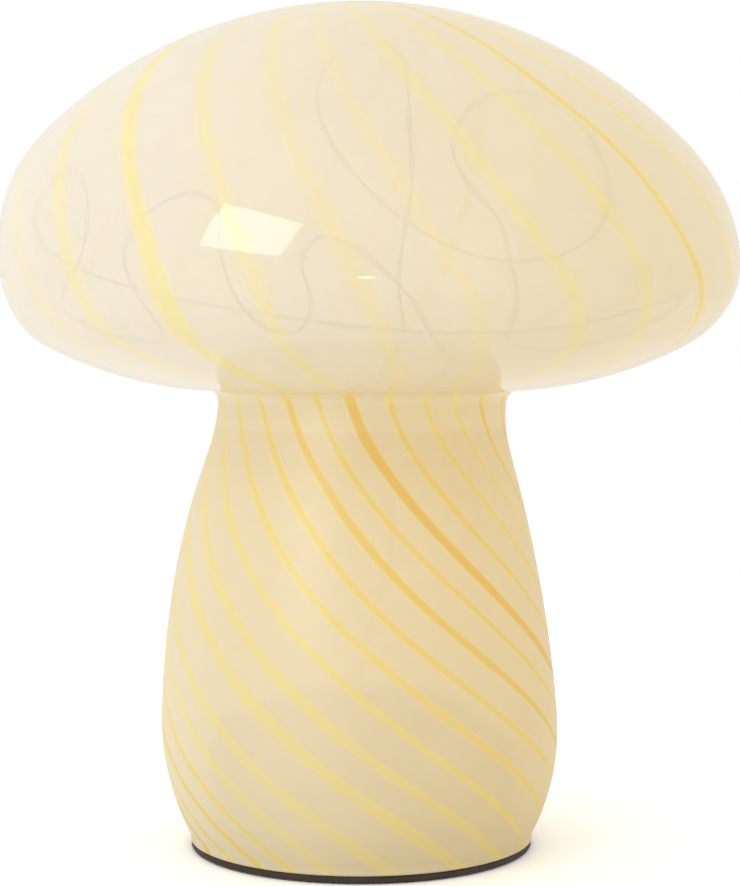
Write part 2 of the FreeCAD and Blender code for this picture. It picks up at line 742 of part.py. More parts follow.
def make_contacts():
    join("contact_positive", [contact_plate("PositivePlate", -1, -1, 1), contact_tail("PositiveTail", -1, 1)])
    join("contact_negative", [contact_plate("NegativePlate", 1, 1, -1), contact_tail("NegativeTail", 1, -1)])
    for label, first, last, end in (("link_front", -1, 0, -1), ("link_rear", 0, 1, 1)):
        plate = contact_plate(label, first, last, end)
        plate.Label = label
        SUBPARTS.append(plate)


def biarc(start, start_way, end, end_way):
    """Two arcs that leave start and reach end along the given unit directions."""
    chord = end - start
    both = start_way + end_way
    square = 2 * (1 - start_way.dot(end_way))
    slope = chord.dot(both)
    reach = (-slope + math.sqrt(slope ** 2 + square * chord.dot(chord))) / square
    middle = (start + start_way * reach + end - end_way * reach) * 0.5
    edges = []
    for first, way, last in ((start, start_way, middle), (middle, (end - end_way * reach - middle), end)):
        way = Vector(way).normalize()
        line = last - first
        normal = line - way * line.dot(way)
        radius = line.dot(line) / (2 * normal.Length)
        centre = first + Vector(normal).normalize() * radius
        between = ((first - centre) + (last - centre)).normalize() * radius
        edges.append(Part.Arc(first, centre + between, last).toShape())
    return edges


def spring_solid(column, end):
    """A conical spring from its contact plate to the cell's flat end, one unbroken wire."""
    wire = num("Size.spring_wire")
    turns = num("Size.spring_turns")
    large = num("Size.spring_large")
    small = num("Size.spring_small")
    tall = num("Size.spring_room") - wire
    steps = int(round(turns * 4))

    def spot(share):
        angle = 2 * math.pi * turns * share
        radius = large + (small - large) * share
        return Vector(radius * math.cos(angle), radius * math.sin(angle), wire / 2 + tall * share)

    def way(share):
        return (spot(share + 0.0005) - spot(share - 0.0005)).normalize()

    edges = []
    for step in range(steps):
        begin = step / steps
        finish = (step + 1) / steps
        edges += biarc(spot(begin), way(begin), spot(finish), way(finish))
    path = Part.Wire(edges)
    profile = Part.Wire(Part.makeCircle(wire / 2, spot(0), way(0)))
    shell = Part.BRepOffsetAPI.MakePipeShell(path)
    shell.add(profile)
    shell.build()
    shell.makeSolid()
    solid = shell.shape()
    face_y = num(BAY_HALF_Y) - num("Size.contact_thick")
    place = Vector(column * num(CELL_PITCH), end * face_y, num(CELL_AXIS))
    solid.Placement = Placement(place, Rotation(Vector(1, 0, 0), 90 * end))
    return solid


def make_contact_springs():
    springs = []
    for label, column, plus in CELLS:
        springs.append(spring_solid(column, -plus))
    wire = num("Size.spring_wire")
    pitch = (num("Size.spring_room") - wire) / num("Size.spring_turns")
    print("contact springs: gap between turns %.2f mm" % (pitch - wire))
    shape_feature("contact_springs", Part.makeCompound(springs))


# ---------------------------------------------------------------- timer board and switch

def cross_pockets(body, across, up, top, long, wide, deep):
    """The two crossed cuts of a screw head's recess."""
    cuts = []
    for half_x, half_y in ((long, "%s / 2" % wide), ("%s / 2" % wide, long)):
        low_x, high_x = either_side(across, half_x)
        low_y, high_y = either_side(up, half_y)
        cuts.append(rectangle_pocket(body, (low_x, low_y, high_x, high_y), "(%s - %s)" % (top, deep), top))
    return cuts


def make_timer_board():
    body = new_body("timer_board")
    rectangle_pad(body, (BOARD_NEAR, "-Size.board_half", BOARD_FAR, "Size.board_half"), BOARD_LOW, BOARD_TOP)
    for side in (-1, 1):
        circle_pocket(body, "Size.small_screw + Size.hole_gap", BOARD_LOW, BOARD_TOP, BOARD_SCREW_X,
                      "%d * Size.board_screw_side" % side)


def make_board_screws():
    body = new_body("board_screws")
    seat = "(%s + Size.pilot_gap)" % BOARD_TOP
    top = "(%s + Size.small_head_high)" % seat
    for side in (-1, 1):
        up = "(%d * Size.board_screw_side)" % side
        circle_pad(body, "Size.small_screw", "(%s - Size.small_screw_long)" % seat, seat, BOARD_SCREW_X, up)
        circle_pad(body, "Size.small_head", seat, top, BOARD_SCREW_X, up)
    for side in (-1, 1):
        up = "(%d * Size.board_screw_side)" % side
        cross_pockets(body, BOARD_SCREW_X, up, top, "Size.small_cross", "Size.small_cross_wide",
                      "Size.small_cross_deep")


def make_timer_chip():
    near = "(%s + Size.chip_in)" % BOARD_NEAR
    chip = block("ChipBody", (near, "-Size.chip_wide / 2", "%s + Size.chip_lift" % BOARD_TOP),
                 ("Size.chip_long", "Size.chip_wide", "Size.chip_high"))
    legs = []
    for index in range(4):
        step = "%.1f * Size.leg_pitch" % (index - 1.5)
        low_x = "%s + Size.chip_long / 2 + %s - Size.leg_wide / 2" % (near, step)
        for name, low_y in (("Near", "-Size.chip_wide / 2 - Size.leg_reach"), ("Far", "Size.chip_wide / 2")):
            legs.append(block("ChipLeg%s%d" % (name, index), (low_x, low_y, BOARD_TOP),
                              ("Size.leg_wide", "Size.leg_reach", "Size.leg_high")))
    join("timer_chip", [chip] + legs)


def make_board_capacitor():
    """A capacitor that lies on the board, with two bent leads at its end."""
    can = doc.addObject("Part::Cylinder", "Can")
    can.setExpression("Radius", "Size.can_dia / 2")
    can.setExpression("Height", "Size.can_long")
    can.Placement = Placement(Vector(0, 0, 0), Rotation(Vector(0, 1, 0), 90))
    near = "(%s + Size.can_in)" % BOARD_NEAR
    can.setExpression("Placement.Base.x", near)
    can.setExpression("Placement.Base.y", "Size.can_side")
    can.setExpression("Placement.Base.z", "%s + Size.can_dia / 2" % BOARD_TOP)
    end = "(%s + Size.can_long)" % near
    bend = "%s + Size.can_reach - Size.can_lead" % end
    pieces = [can]
    for index, side in enumerate(("-0.5", "0.5")):
        low_y = "Size.can_side + %s * Size.can_pitch - Size.can_lead / 2" % side
        middle = "%s + Size.can_dia / 2 - Size.can_lead / 2" % BOARD_TOP
        pieces.append(block("CanLead%d" % index, (end, low_y, middle),
                            ("Size.can_reach", "Size.can_lead", "Size.can_lead")))
        pieces.append(block("CanDrop%d" % index, (bend, low_y, BOARD_TOP),
                            ("Size.can_lead", "Size.can_lead", "Size.can_dia / 2")))
    join("board_capacitor", pieces)


def make_board_resistors():
    resistors = []
    near = "%s + Size.resistor_in" % BOARD_NEAR
    for column, line in ((0, 0), (1, 0), (0, 1)):
        low = Vector(num("%s + %d * Size.resistor_pitch" % (near, column)),
                     num("Size.resistor_side + %d * Size.resistor_row" % line), num(BOARD_TOP))
        resistors.append(Part.makeBox(num("Size.resistor_long"), num("Size.resistor_wide"),
                                      num("Size.resistor_high"), low))
    shape_feature("board_resistors", Part.makeCompound(resistors))


def make_switch():
    place = SWITCH_PLACE
    outer = block("SwitchShell", ("%s - Size.switch_wide / 2" % place, "-Size.switch_long / 2", SWITCH_LOW),
                  ("Size.switch_wide", "Size.switch_long", "Size.switch_high"))
    room_x = "(Size.knob_wide + 2 * Size.knob_gap)"
    room_y = "(2 * %s)" % SLOT_HALF
    room = block("SwitchRoom", ("%s - %s / 2" % (place, room_x), "-%s / 2" % room_y,
                                "%s + Size.switch_shell" % SWITCH_LOW),
                 (room_x, room_y, "Size.slider_high + 2 * Size.knob_gap"))
    slot_x = "(Size.knob_stem + 2 * Size.knob_gap)"
    slot = block("SwitchSlot", ("%s - %s / 2" % (place, slot_x), "-%s / 2" % room_y, SWITCH_LOW),
                 (slot_x, room_y, "2 * Size.switch_shell"))
    tool = doc.addObject("Part::MultiFuse", "SwitchHollow")
    tool.Shapes = [room, slot]
    SUBPARTS.append(cut("switch_body", outer, tool))
    slider = block("Slider", ("%s - Size.knob_wide / 2" % place, "-Size.knob_long / 2",
                              "%s + Size.switch_shell + Size.knob_gap" % SWITCH_LOW),
                   ("Size.knob_wide", "Size.knob_long", "Size.slider_high"))
    low = "(%s + Size.knob_depth)" % PLATE_LOW
    stem = block("Stem", ("%s - Size.knob_stem / 2" % place, "-Size.knob_long / 2", low),
                 ("Size.knob_stem", "Size.knob_long",
                  "%s + Size.switch_shell + Size.knob_gap - %s" % (SWITCH_LOW, low)))
    ridges = []
    for index in range(3):
        low_y = "%d * Size.ridge_pitch - Size.ridge_wide / 2" % (index - 1)
        ridges.append(block("Ridge%d" % index, ("%s - Size.knob_stem / 2" % place, low_y,
                                                "%s - Size.ridge_high" % low),
                            ("Size.knob_stem", "Size.ridge_wide", "Size.ridge_high")))
    join("switch_knob", [slider, stem] + ridges)


# ---------------------------------------------------------------- cover

def make_housing_cover():
    body = new_body("housing_cover")
    sketch = new_sketch(body, "Section", role="XZ_Plane")
    lip_outer = "(%s - Size.cover_gap)" % COLLAR_INNER
    lip_inner = "(%s - Size.cover_wall)" % lip_outer
    inside = "(%s - Size.cover_wall)" % COVER_OUTER
    add_polygon(sketch, [
        ("Size.outlet_radius", "Size.cover_top - Size.cover_wall"),
        ("%s - Size.cover_wall / 2" % COVER_CROWN, "Size.cover_top - Size.cover_wall"),
        (inside, "Size.cover_shoulder - Size.cover_wall / 2"),
        (inside, "Size.collar_top + 2 * Size.cover_wall"),
        (lip_inner, "Size.collar_top + Size.cover_wall"),
        (lip_inner, "Size.collar_top - Size.cover_lip"),
        (lip_outer, "Size.collar_top - Size.cover_lip"),
        (lip_outer, "Size.collar_top"),
        (COVER_OUTER, "Size.collar_top"),
        (COVER_OUTER, "Size.cover_shoulder"),
        (COVER_CROWN, "Size.cover_top"),
        ("Size.outlet_radius", "Size.cover_top"),
    ])
    add_revolution(body, sketch)
    # a tube to each base boss, with a seat for the screw head
    pitch = "(Size.cover_top - Size.cover_shoulder) / Size.crown_inset"
    reach_in = "(%s - %s + Size.tube_radius)" % (COVER_OUTER, BOSS_PLACE)
    roof = "(Size.cover_shoulder + %s * %s - Size.cover_wall / 2)" % (reach_in, pitch)
    tube = circle_pad(body, "Size.tube_radius", TUBE_FLOOR, roof, "0", BOSS_PLACE)
    add_polar(body, [tube], 3, 180.0)
    head_room = "Size.screw_head + Size.head_gap"
    seat = circle_pocket(body, head_room, HEAD_SEAT, "Size.cover_top", "0", BOSS_PLACE)
    add_polar(body, [seat], 3, 180.0)
    hole = circle_pocket(body, "Size.screw_shank + Size.hole_gap", TUBE_FLOOR, HEAD_SEAT, "0", BOSS_PLACE)
    add_polar(body, [hole], 3, 180.0)


def make_cover_screws():
    body = new_body("cover_screws")
    tip = "(Size.boss_top - Size.screw_long + Size.screw_tip_gap)"
    shank = circle_pad(body, "Size.screw_shank", tip, HEAD_SEAT, "0", BOSS_PLACE)
    head_top = "(%s + Size.screw_head_high)" % HEAD_SEAT
    head = circle_pad(body, "Size.screw_head", HEAD_SEAT, head_top, "0", BOSS_PLACE)
    cuts = cross_pockets(body, "0", BOSS_PLACE, head_top, "Size.cross_long", "Size.cross_wide",
                         "Size.cross_deep")
    add_polar(body, [shank, head] + cuts, 3, 180.0)


def make_wire_grommet():
    body = new_body("wire_grommet")
    sketch = new_sketch(body, "Section", role="XZ_Plane")
    low = "(Size.cover_top - Size.cover_wall)"
    neck = "(Size.outlet_radius - Size.pilot_gap)"
    add_polygon(sketch, [
        ("Size.grommet_bore", "%s - Size.grommet_side" % low),
        ("Size.grommet_flange", "%s - Size.grommet_side" % low),
        ("Size.grommet_flange", low),
        (neck, low),
        (neck, "Size.cover_top"),
        ("Size.grommet_flange", "Size.cover_top"),
        ("Size.grommet_flange - Size.grommet_edge", "Size.cover_top + Size.grommet_side"),
        ("Size.grommet_bore", "Size.cover_top + Size.grommet_side"),
    ])
    add_revolution(body, sketch)


# ---------------------------------------------------------------- wires

STRING_ROUTE = [
    # from the timer board through the grommet
    (29, -4.5, 7.7), (29, -4.5, 13), (26.5, -4, 19.5), (19, -3, 25), (9, -1.5, 27), (0, 0, 31.5), (0, 0, 47),
    # up the stem, out to its front wall and back through the neck
    (1, -6, 57), (3.5, -18.5, 66.5), (7, -32, 75.5), (8, -41, 87), (7, -33.5, 99), (4, -22, 110),
    (3, -17, 121), (5, -26, 130.5),
    # up the front of the cap
    (8, -46, 135.5), (10, -66, 138.5), (10.5, -82, 144), (8.5, -92, 153), (10.5, -94, 165),
    (12.5, -90.5, 177), (11.5, -81.5, 190), (12, -64, 204),
    # over the crown and down the back
    (9, -36, 214.5), (0, -6, 219), (-12, 26, 216), (-14, 56, 205), (-4, 78, 190), (14, 87, 174),
    (36, 82, 163), (58, 68, 162), (72, 46, 171), (70, 18, 187),
    # forward again and down the front right
    (56, -12, 200), (40, -42, 203), (26, -68, 196.5), (20.5, -84.5, 184.5), (25.5, -88.8, 174.5),
    (33.5, -87.6, 167), (34.3, -88.2, 159), (37, -85.8, 152), (37, -80, 144.5), (35, -72, 140),
    # round the right and the back along the cap's floor
    (38.5, -59, 137), (52, -46, 136.5), (68, -34, 140), (82, -18, 146), (90, 4, 152), (84, 28, 149),
    (68, 48, 143.5), (46, 64, 140.5), (20, 74, 140.5), (-8, 80, 143), (-36, 76, 147), (-62, 62, 152),
    # up the left side and down again
    (-81, 40, 158), (-90, 12, 165), (-87, -16, 174), (-76, -40, 183), (-68, -55, 180), (-66, -65.5, 170),
    (-67, -66, 160.5), (-73, -58.5, 152.5), (-76, -45, 146), (-66, -35, 140.5), (-52, -40, 138),
    (-48, -56, 140), (-52.5, -73, 148.5), (-57.5, -74.5, 158.5), (-54, -66, 169), (-42, -64, 176),
    # across the front to the loose end
    (-33, -76, 172), (-33, -88, 161.5), (-30, -85.5, 149.5), (-23, -75, 141.5), (-14, -77, 140.5),
    (-10.5, -87.5, 148), (-14.5, -93, 158), (-9, -93.5, 164.5), (0, -91, 160.5), (8, -87, 153.5),
    (13.5, -86, 147.5), (16, -81, 141.8), (19.5, -71.5, 137.5), (22, -59, 134.8), (25, -45, 133.5),
]
RED_ROUTE = [
    (-10.8, 24.9, 17), (-10.8, 24.9, 21), (-6, 23, 24.5), (3, 19, 24.5), (11, 13.5, 22.5), (17, 7.5, 19),
    (20.8, 3.4, 14), (20.8, 3.4, 7.7),
]
BLACK_ROUTE = [
    (10.8, -24.9, 17), (10.8, -24.9, 21), (13.5, -21.5, 24), (18.5, -16.5, 22), (22.5, -12.5, 18),
    (24.5, -10.6, 12.5), (24.5, -10.6, 7.7),
]
# The share of a run that its corner's arc takes, and the step at which the string is measured.
ARC_SHARE = 0.45
STRING_STEP = 0.5


def tube_path(route):
    """Straight runs joined by tangent arcs; each arc is as large as its two runs allow."""
    points = [Vector(*place) for place in route]
    edges = []
    radii = []
    last = points[0]
    for before, corner, after in zip(points, points[1:], points[2:]):
        way_in = (corner - before).normalize()
        way_out = (after - corner).normalize()
        reach = ARC_SHARE * min((corner - before).Length, (after - corner).Length)
        half_turn = way_in.getAngle(way_out) / 2
        radius = reach / math.tan(half_turn)
        radii.append(radius)
        begin = corner - way_in * reach
        finish = corner + way_out * reach
        to_centre = (way_out - way_in).normalize()
        middle = corner + to_centre * (radius / math.cos(half_turn) - radius)
        edges.append(Part.LineSegment(last, begin).toShape())
        edges.append(Part.Arc(begin, middle, finish).toShape())
        last = finish
    edges.append(Part.LineSegment(last, points[-1]).toShape())
    return Part.Wire(edges), radii


def tube_solid(label, route, diameter):
    path, radii = tube_path(route)
    start = Vector(*route[0])
    profile = Part.Wire(Part.makeCircle(diameter / 2, start, Vector(*route[1]) - start))
    shell = Part.BRepOffsetAPI.MakePipeShell(path)
    shell.add(profile)
    shell.build()
    shell.makeSolid()
    solid = shell.shape()
    expected = math.pi * diameter ** 2 / 4 * path.Length
    print("%s: length %.0f mm, radii %.1f to %.1f mm, volume over section times length %.4f"
          % (label, path.Length, min(radii), max(radii), solid.Volume / expected))
    return solid, path


def make_wires():
    string, path = tube_solid("led_wire", STRING_ROUTE, num("Size.string_dia"))
    shape_feature("led_wire", string)
    count = int(num("Size.bead_count"))
    first = num("Size.bead_first")
    radius = num("Size.bead_dia") / 2
    side = num("Size.chip_side")
    last = path.Length - radius
    places = path.discretize(Distance=STRING_STEP)
    beads = []
    chips = []
    for index in range(count):
        share = (first + (last - first) * index / (count - 1)) / path.Length
        here = places[min(int(round(share * (len(places) - 1))), len(places) - 2)]
        beads.append(Part.makeSphere(radius, here))
        corner = here - Vector(side / 2, side / 2, side / 2)
        chips.append(Part.makeBox(side, side, side, corner))
    shape_feature("led_beads", Part.makeCompound(beads))
    shape_feature("led_chips", Part.makeCompound(chips))
    for label, route in (("lead_red", RED_ROUTE), ("lead_black", BLACK_ROUTE)):
        shape_feature(label, tube_solid(label, route, num("Size.lead_dia"))[0])


# ---------------------------------------------------------------- build and write

make_glass_body()
make_base_housing()
make_rubber_feet()
make_foot_seal()
make_battery_door()
make_cells()
make_contacts()
make_contact_springs()
make_timer_board()
make_board_screws()
make_timer_chip()
make_board_capacitor()
make_board_resistors()
make_switch()
make_housing_cover()
make_cover_screws()
make_wire_grommet()
make_wires()
doc.recompute()

for item in doc.Objects:
    if "Invalid" in item.State or "Error" in item.State:
        raise RuntimeError("%s failed: %s" % (item.Name, item.State))
os.makedirs("parts", exist_ok=True)
for item in SUBPARTS:
    shape = item.Shape
    if shape.isNull() or not shape.isValid():
        raise RuntimeError("%s has no valid shape" % item.Label)
    shape.exportStep("parts/%s.step" % item.Label)
    box = shape.BoundBox
    print("%-18s solids %2d  volume %9.1f  z %.2f to %.2f" % (item.Label, len(shape.Solids), shape.Volume,
                                                            box.ZMin, box.ZMax))
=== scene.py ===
"""Looks of the mushroom table lamp: hand-blown milky glass with twisted amber canes over a battery base.

Metres. The lamp stands on the XY plane with its axis on +Z and its front at -Y.
"""
import math
import random

import bmesh
import bpy
import numpy as np
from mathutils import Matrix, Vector, noise


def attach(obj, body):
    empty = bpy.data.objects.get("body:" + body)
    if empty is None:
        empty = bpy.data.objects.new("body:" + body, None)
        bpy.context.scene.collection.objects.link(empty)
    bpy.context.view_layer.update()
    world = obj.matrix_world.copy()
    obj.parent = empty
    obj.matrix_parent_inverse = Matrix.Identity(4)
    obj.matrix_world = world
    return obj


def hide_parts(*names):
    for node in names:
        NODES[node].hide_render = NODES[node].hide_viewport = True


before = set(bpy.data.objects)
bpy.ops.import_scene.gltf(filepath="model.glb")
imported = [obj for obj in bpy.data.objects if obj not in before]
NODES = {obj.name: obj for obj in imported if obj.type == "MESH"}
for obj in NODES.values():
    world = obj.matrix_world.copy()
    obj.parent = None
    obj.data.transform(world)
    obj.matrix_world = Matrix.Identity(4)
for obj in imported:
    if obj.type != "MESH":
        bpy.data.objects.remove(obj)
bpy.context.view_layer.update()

MM = 0.001
LAMP = "lamp"
scene = bpy.context.scene

# ---------------------------------------------------------------- camera

CAMERA_PLACE = (0.0024, -0.6, 0.1425)
CAMERA_AIM = (0.0024, 0.0, 0.1106)
CAMERA_LENS = 89.07
CAMERA_SENSOR = 36.0
CAMERA_CLIP = (0.01, 30.0)


def make_camera():
    data = bpy.data.cameras.new("camera")
    data.lens = CAMERA_LENS
    data.sensor_width = CAMERA_SENSOR
    data.sensor_fit = "AUTO"
    data.clip_start, data.clip_end = CAMERA_CLIP
    item = bpy.data.objects.new("camera", data)
    scene.collection.objects.link(item)
    item.location = CAMERA_PLACE
    way = Vector(CAMERA_AIM) - Vector(CAMERA_PLACE)
    item.rotation_euler = way.to_track_quat("-Z", "Y").to_euler()
    scene.camera = item


make_camera()

# ---------------------------------------------------------------- shader node helpers


class Shader:
    """A material's or world's node tree, filled by short calls."""

    def __init__(self, owner):
        owner.use_nodes = True
        self.tree = owner.node_tree
        self.tree.nodes.clear()

    def add(self, kind, settings=None, **inputs):
        """A node; an input is a value or another node's socket, with _ for a space in its name."""
        item = self.tree.nodes.new("ShaderNode" + kind)
        for name, value in (settings or {}).items():
            setattr(item, name, value)
        for name, value in inputs.items():
            self.feed(item.inputs[name.replace("_", " ")], value)
        return item

    def feed(self, socket, value):
        if isinstance(value, bpy.types.NodeSocket):
            self.tree.links.new(value, socket)
        elif socket.type == "RGBA" and len(value) == 3:
            socket.default_value = (*value, 1.0)
        else:
            socket.default_value = value

    def math(self, operation, *values):
        item = self.add("Math", {"operation": operation})
        for socket, value in zip(item.inputs, values):
            self.feed(socket, value)
        return item.outputs[0]

    def spread(self, value, low, high, to_low=0.0, to_high=1.0, smooth=False):
        item = self.add("MapRange", {"interpolation_type": "SMOOTHSTEP" if smooth else "LINEAR"})
        for socket, number in zip(item.inputs, (value, low, high, to_low, to_high)):
            self.feed(socket, number)
        return item.outputs[0]

    def blend(self, share, first, second):
        """A mix of two numbers."""
        item = self.add("Mix", {"data_type": "FLOAT"})
        for socket, value in zip((item.inputs[0], item.inputs[2], item.inputs[3]), (share, first, second)):
            self.feed(socket, value)
        return item.outputs[0]

    def tint(self, share, first, second, how="MIX"):
        """A mix of two colours."""
        item = self.add("Mix", {"data_type": "RGBA", "blend_type": how})
        for socket, value in zip((item.inputs[0], item.inputs[6], item.inputs[7]), (share, first, second)):
            self.feed(socket, value)
        return item.outputs[2]

    def cloud(self, scale, detail=2.0, rough=0.5, at=None, stretch=None):
        """Noise from 0 to 1 in the object's own coordinates, or at the given ones."""
        place = at or self.add("TexCoord").outputs["Object"]
        if stretch:
            place = self.scaled(place, stretch)
        item = self.add("TexNoise", Scale=scale, Detail=detail, Roughness=rough, Vector=place)
        return item.outputs["Fac"]

    def scaled(self, place, factors):
        item = self.add("VectorMath", {"operation": "MULTIPLY"})
        self.feed(item.inputs[0], place)
        self.feed(item.inputs[1], factors)
        return item.outputs[0]

    def bump(self, height, distance):
        return self.add("Bump", Height=height, Distance=distance, Strength=1.0).outputs[0]

    def finish(self, surface):
        out = self.add("OutputMaterial")
        self.tree.links.new(surface, out.inputs["Surface"])


def new_material(name):
    material = bpy.data.materials.new(name)
    return material, Shader(material)


# ---------------------------------------------------------------- floor, world and lights

# The floor's grey for light and for the eye; it fades to plain white between two distances from the lamp.
FLOOR_RADIUS = 3.0
FLOOR_SEGMENTS = 96
FLOOR_COLOUR = 0.95
FLOOR_SEEN = 1.2
FLOOR_FADE = (0.22, 0.75)
# The tent's level at the left and at the right, and the share of it that comes from straight above or below.
WORLD_LEFT, WORLD_RIGHT, WORLD_ABOVE = 1.34, 1.22, 0.70
# Softboxes: angles in degrees from the lamp's front. One lights the glass, and two only show in its gloss.
LIGHTS = [
    {"name": "key", "azimuth": -38.0, "elevation": 32.0, "distance": 1.1, "size": (0.6, 0.5), "radiance": 1.2,
     "gloss": False},
    {"name": "window", "azimuth": -35.0, "elevation": 10.0, "distance": 0.3, "size": (0.157, 0.133),
     "radiance": 7.0, "spin": -18.0, "aim": (-0.027, -0.096, 0.163), "matte": False},
    {"name": "glint", "azimuth": 0.0, "elevation": -27.0, "distance": 0.25, "size": (0.022, 0.008),
     "radiance": 20.0, "aim": (0.0, -0.099, 0.154), "matte": False},
]


def ray_is_seen(shader):
    """1 for rays that show the backdrop as it is: to the eye, in gloss and through glass."""
    path = shader.add("LightPath").outputs
    either = shader.math("MAXIMUM", path["Is Camera Ray"], path["Is Glossy Ray"])
    return shader.math("MAXIMUM", either, path["Is Transmission Ray"])


def make_floor():
    mesh = bpy.data.meshes.new("floor")
    shape = bmesh.new()
    bmesh.ops.create_circle(shape, cap_ends=True, radius=FLOOR_RADIUS, segments=FLOOR_SEGMENTS)
    shape.to_mesh(mesh)
    shape.free()
    item = bpy.data.objects.new("floor", mesh)
    scene.collection.objects.link(item)
    material, shader = new_material("floor_white")
    place = shader.add("TexCoord").outputs["Object"]
    far = shader.add("VectorMath", {"operation": "LENGTH"})
    shader.feed(far.inputs[0], place)
    grain = shader.spread(shader.cloud(90.0, 3.0), 0.3, 0.7, 0.985, 1.0)
    seen = ray_is_seen(shader)
    level = shader.math("MULTIPLY", shader.blend(seen, FLOOR_COLOUR, FLOOR_SEEN), grain)
    grey = shader.add("CombineColor", Red=level, Green=level, Blue=level).outputs[0]
    matte = shader.add("BsdfDiffuse", Color=grey).outputs[0]
    white = shader.add("Emission", Color=(1.0, 1.0, 1.0), Strength=1.0).outputs[0]
    fade = shader.spread(far.outputs["Value"], *FLOOR_FADE, smooth=True)
    near_or_far = shader.add("MixShader", Fac=shader.math("MULTIPLY", fade, seen)).outputs[0]
    mix = near_or_far.node
    shader.feed(mix.inputs[1], matte)
    shader.feed(mix.inputs[2], white)
    # the underside lets a look from below through
    clear = shader.add("BsdfTransparent").outputs[0]
    side = shader.add("MixShader", Fac=shader.add("NewGeometry").outputs["Backfacing"])
    shader.feed(side.inputs[1], near_or_far)
    shader.feed(side.inputs[2], clear)
    shader.finish(side.outputs[0])
    mesh.materials.append(material)


def make_world():
    """An even white tent, brightest at the sides; seen directly it is plain white."""
    world = bpy.data.worlds.new("studio")
    scene.world = world
    shader = Shader(world)
    way = shader.add("SeparateXYZ", Vector=shader.add("TexCoord").outputs["Generated"]).outputs
    across = shader.spread(way["X"], -0.9, 0.9, WORLD_LEFT, WORLD_RIGHT, smooth=True)
    height = shader.spread(shader.math("ABSOLUTE", way["Z"]), 0.1, 0.95, 1.0, WORLD_ABOVE, smooth=True)
    seen = ray_is_seen(shader)
    strength = shader.blend(seen, shader.math("MULTIPLY", across, height), 1.0)
    glow = shader.add("Background", Color=(1.0, 1.0, 1.0), Strength=strength)
    out = shader.add("OutputWorld")
    shader.tree.links.new(glow.outputs[0], out.inputs["Surface"])


def area_light(name, azimuth, elevation, distance, size, radiance,
               spin=0.0, aim=(0.0, 0.0, 0.12), gloss=True, matte=True):
    """A rectangular softbox that faces the aim point."""
    data = bpy.data.lights.new(name, "AREA")
    data.shape = "RECTANGLE"
    data.size, data.size_y = size
    data.energy = radiance * math.pi * size[0] * size[1]
    item = bpy.data.objects.new(name, data)
    scene.collection.objects.link(item)
    turn, lift = math.radians(azimuth), math.radians(elevation)
    way = Vector((math.sin(turn) * math.cos(lift), -math.cos(turn) * math.cos(lift), math.sin(lift)))
    item.location = Vector(aim) + way * distance
    item.rotation_euler = (-way).to_track_quat("-Z", "Y").to_euler()
    item.rotation_euler.rotate_axis("Z", math.radians(spin))
    item.visible_camera = False
    item.visible_glossy = gloss
    item.visible_diffuse = matte
    item.visible_transmission = matte


scene.view_settings.view_transform = "Standard"
make_floor()
make_world()
for light in LIGHTS:
    area_light(**light)

# ---------------------------------------------------------------- glass outline

# The body's driving sizes, in millimetres.
HEIGHT, CAP_RISE, CAP_RADIUS = 229.5, 69.5, 99.9
BROW_ARC, LIP_ARC, UNDER_ARC = 46.5, 26.0, 105.0
NECK_DROP, NECK_RADIUS, NECK_ARC = 38.0, 39.3, 3.2
SHOULDER_ARC, BELLY_RADIUS, BELLY_LEVEL, BELLY_ARC, BELLY_TURN = 46.5, 54.4, 33.7, 60.0, 2.84
HEEL_ARC, FOOT_INSET, CREASE_ARC = 63.5, 7.4, 3.0
GLASS_WALL, GLASS_LOW = 3.0, 2.3


def meet(first, first_reach, second, second_reach):
    """The upper point at the given distances from two points."""
    line = second - first
    span = line.length
    along = (first_reach ** 2 - second_reach ** 2 + span ** 2) / (2 * span)
    aside = math.sqrt(first_reach ** 2 - along ** 2)
    unit = line.normalized()
    normal = Vector((-unit.y, unit.x))
    return max((first + unit * along + normal * side * aside for side in (-1, 1)), key=lambda spot: spot.y)


